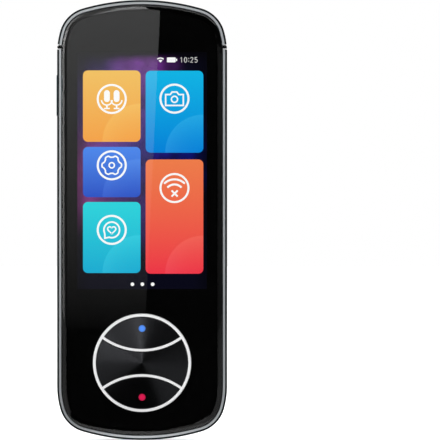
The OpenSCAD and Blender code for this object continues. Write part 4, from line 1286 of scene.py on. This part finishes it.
# Depths of the cards in front and behind, and heights of the floor's cards and dark flags, in metres.
FRONT_Y = -1.084
REAR_Y = 1.095
CARD_Z = 0.0006
FLAG_Z = 0.0008


@dataclass
class Studio:
    """The floor, the white surroundings, the lamps, the cards and the camera."""

    floor_half: float = 4.0
    ambient: float = 0.62
    floor_color: float = 0.86
    floor_rough: float = 0.7
    floor_gloss: float = 0.1
    floor_lift: float = 0.55
    lens_mm: float = 300.0
    clip_start: float = 0.01
    camera_place: tuple[float, float, float] = (0.02291, -1.0838, 0.0647)
    softboxes: tuple[Softbox, ...] = (
        Softbox("left_softbox", (-1.25, -1.15, 0.95), 1.1, 1.5, 2.2),
        Softbox("right_softbox", (1.5, -1.3, 1.0), 0.7, 1.2, 1.3),
        Softbox("top_softbox", (0.1, 1.05, 1.45), 1.2, 0.9, 2.6),
        Softbox("rear_left_softbox", (1.3, 1.1, 0.8), 0.5, 1.5, 5.6),
        Softbox("rear_right_softbox", (-1.5, 0.55, 0.9), 0.5, 1.4, 0.45),
    )
    cards: tuple[Card, ...] = (
        Card.wall("glare_card", FRONT_Y, (
            (-0.09, 0.0), (-0.0212, 0.0), (-0.0117, 0.2), (-0.09, 0.2)), 0.02, 0.7),
        Card.upright("far_glare_card", ((-0.3, FRONT_Y), (-0.09, FRONT_Y)), (0.0, 0.2), 0.05, 0.3),
        Card.upright("left_near_card", ((-0.6335, -1.0138), (-0.3, FRONT_Y)), (0.0, 0.5), 0.25, 0.4),
        Card.upright("left_card", ((-2.6, -0.6), (-0.6335, -1.0138)), (0.0, 0.5), 1.6, 6.5),
        Card.wall("wedge_card", -1.09, ((-0.1, 0.21), (-0.016, 0.21), (-0.012, 1.1), (-0.14, 1.1)), 3.0, 6.0),
        Card.wall("dark_flag", FRONT_Y, (
            (-0.0212, 0.0), (0.05, 0.0), (0.05, 0.2), (-0.0117, 0.2)), 0.01, 0.01),
        Card.upright("right_card", ((0.05, FRONT_Y), (2.4, -0.6)), (0.0, 0.2), 0.15, 0.25),
        Card.wall("high_flag", FRONT_Y, ((-0.0117, 0.2), (2.2, 0.2), (2.2, 1.1), (-0.009, 1.1)), 0.02, 0.02),
        Card.floor("floor_flag", FLAG_Z, (
            (-0.085, FRONT_Y), (0.0265, FRONT_Y), (0.0225, -0.155), (-0.036, -0.155)), 0.01, 0.01),
        Card.floor("near_floor_flag", FLAG_Z, (
            (-0.036, -0.155), (0.0225, -0.155), (0.008, -0.012), (-0.03, -0.012)), 0.01, 0.01),
        Card.floor("right_floor_card", CARD_Z, (
            (0.02, FRONT_Y), (1.3, -1.0), (1.1, -0.155), (0.018, -0.155)), 0.3, 0.5),
        Card.floor("near_floor_card", CARD_Z, (
            (0.018, -0.155), (1.1, -0.155), (1.1, -0.012), (0.004, -0.012)), 0.5, 0.5),
        Card.floor("left_floor_card", CARD_Z, (
            (-1.3, -1.0), (-0.08, FRONT_Y), (-0.02, -0.012), (-1.1, -0.25)), 0.4, 0.5),
        Card.standing("right_flag", 1.8, (94.0, 122.0), (0.0, 1.9), 0.03, 0.03),
        Card.standing("right_rear_card", 1.8, (122.0, 145.0), (0.0, 1.9), 1.6, 1.6),
        Card.standing("left_flag", 1.8, (-94.0, -162.0), (0.0, 2.4), 0.01, 0.01),
        Card.floor("top_flag", 1.3, ((-0.9, -0.5), (0.9, -0.5), (0.9, 0.6), (-0.9, 0.6)), 0.04, 0.04),
        Card.wall("rear_glare_card", REAR_Y, (
            (0.067, 0.09), (0.0107, 0.09), (-0.052, 0.19), (0.067, 0.19)), 0.62, 0.85),
        Card.wall("rear_dark_flag", REAR_Y, (
            (-0.067, 0.09), (0.0107, 0.09), (-0.052, 0.19), (-0.067, 0.19)), 0.01, 0.01),
        Card.floor("window_flag", CARD_Z, (
            (0.2607, 0.2935), (0.2907, 0.2935), (0.3167, 0.3277), (0.2867, 0.3277)), 0.05, 0.05),
        Card.floor("right_rear_floor_flag", CARD_Z, (
            (-0.05, 0.06), (-0.9, 0.06), (-1.5, 1.3), (-0.6, 1.6)), 0.3, 0.3),
        Card.floor("rear_floor_flag", CARD_Z, (
            (-0.07, 0.02), (0.07, 0.02), (0.09, 0.06), (-0.09, 0.06)), 0.03, 0.03),
    )

    def seen(self, graph: Graph) -> Socket:
        """A mask that is 1 for rays from the camera, from gloss and through glass.

        Args:
            graph: the material's or the world's nodes.

        Returns:
            The mask.
        """
        path = graph.add("ShaderNodeLightPath").outputs
        both = graph.math("MAXIMUM", path["Is Camera Ray"], path["Is Glossy Ray"])
        return graph.math("MAXIMUM", both, path["Is Transmission Ray"])

    def make_world(self) -> None:
        """Surrounds the object with white that lights it at a plain level."""
        world = bpy.data.worlds.new("white_room")
        bpy.context.scene.world = world
        world.use_nodes = True
        graph = Graph(world.node_tree)
        share = graph.math("MULTIPLY_ADD", self.seen(graph), 1.0 - self.ambient, self.ambient)
        background = world.node_tree.nodes["Background"]
        graph.put(background.inputs["Strength"], share)
        background.inputs["Color"].default_value = (1.0, 1.0, 1.0, 1.0)

    def make_floor(self) -> None:
        """Makes the pale floor, which shows white and keeps the shadow."""
        half, pale = self.floor_half, self.floor_color
        mesh = bpy.data.meshes.new("floor")
        corners = [(-half, -half, 0), (half, -half, 0), (half, half, 0), (-half, half, 0)]
        mesh.from_pydata(corners, [], [(0, 1, 2, 3)])
        material, graph = new_material("pale_floor")
        shader = material.node_tree.nodes["Principled BSDF"]
        for name, value in (
            ("Base Color", (pale, pale, pale, 1.0)), ("Roughness", self.floor_rough),
            ("Specular IOR Level", self.floor_gloss), ("Emission Color", (1.0, 1.0, 1.0, 1.0)),
            ("Emission Strength", graph.math("MULTIPLY", self.seen(graph), self.floor_lift)),
        ):
            graph.put(shader.inputs[name], value)
        mesh.materials.append(material)
        floor = new_object("floor", mesh)

    def make_camera(self) -> None:
        """Sets the long lens straight in front of the glass."""
        lens = bpy.data.cameras.new("camera")
        lens.lens = self.lens_mm
        lens.clip_start = self.clip_start
        camera = new_object("camera", lens)
        camera.location = self.camera_place
        camera.rotation_euler = (math.pi / 2, 0.0, 0.0)
        bpy.context.scene.camera = camera

    def build(self) -> None:
        """Sets up everything round the object."""
        bpy.context.scene.view_settings.view_transform = "Standard"
        self.make_world()
        self.make_floor()
        self.make_camera()
        for thing in (*self.softboxes, *self.cards):
            thing.build()


def main() -> None:
    """Builds the studio, dresses the solids and adds the thin pieces."""
    logging.basicConfig(level=logging.INFO, format="%(name)s: %(message)s")
    Studio().build()
    dress_nodes()
    for part in (Screen(), PortContacts()):
        part.build()
        LOG.info("built %s", type(part).__name__)


if __name__ == "__main__":
    main()
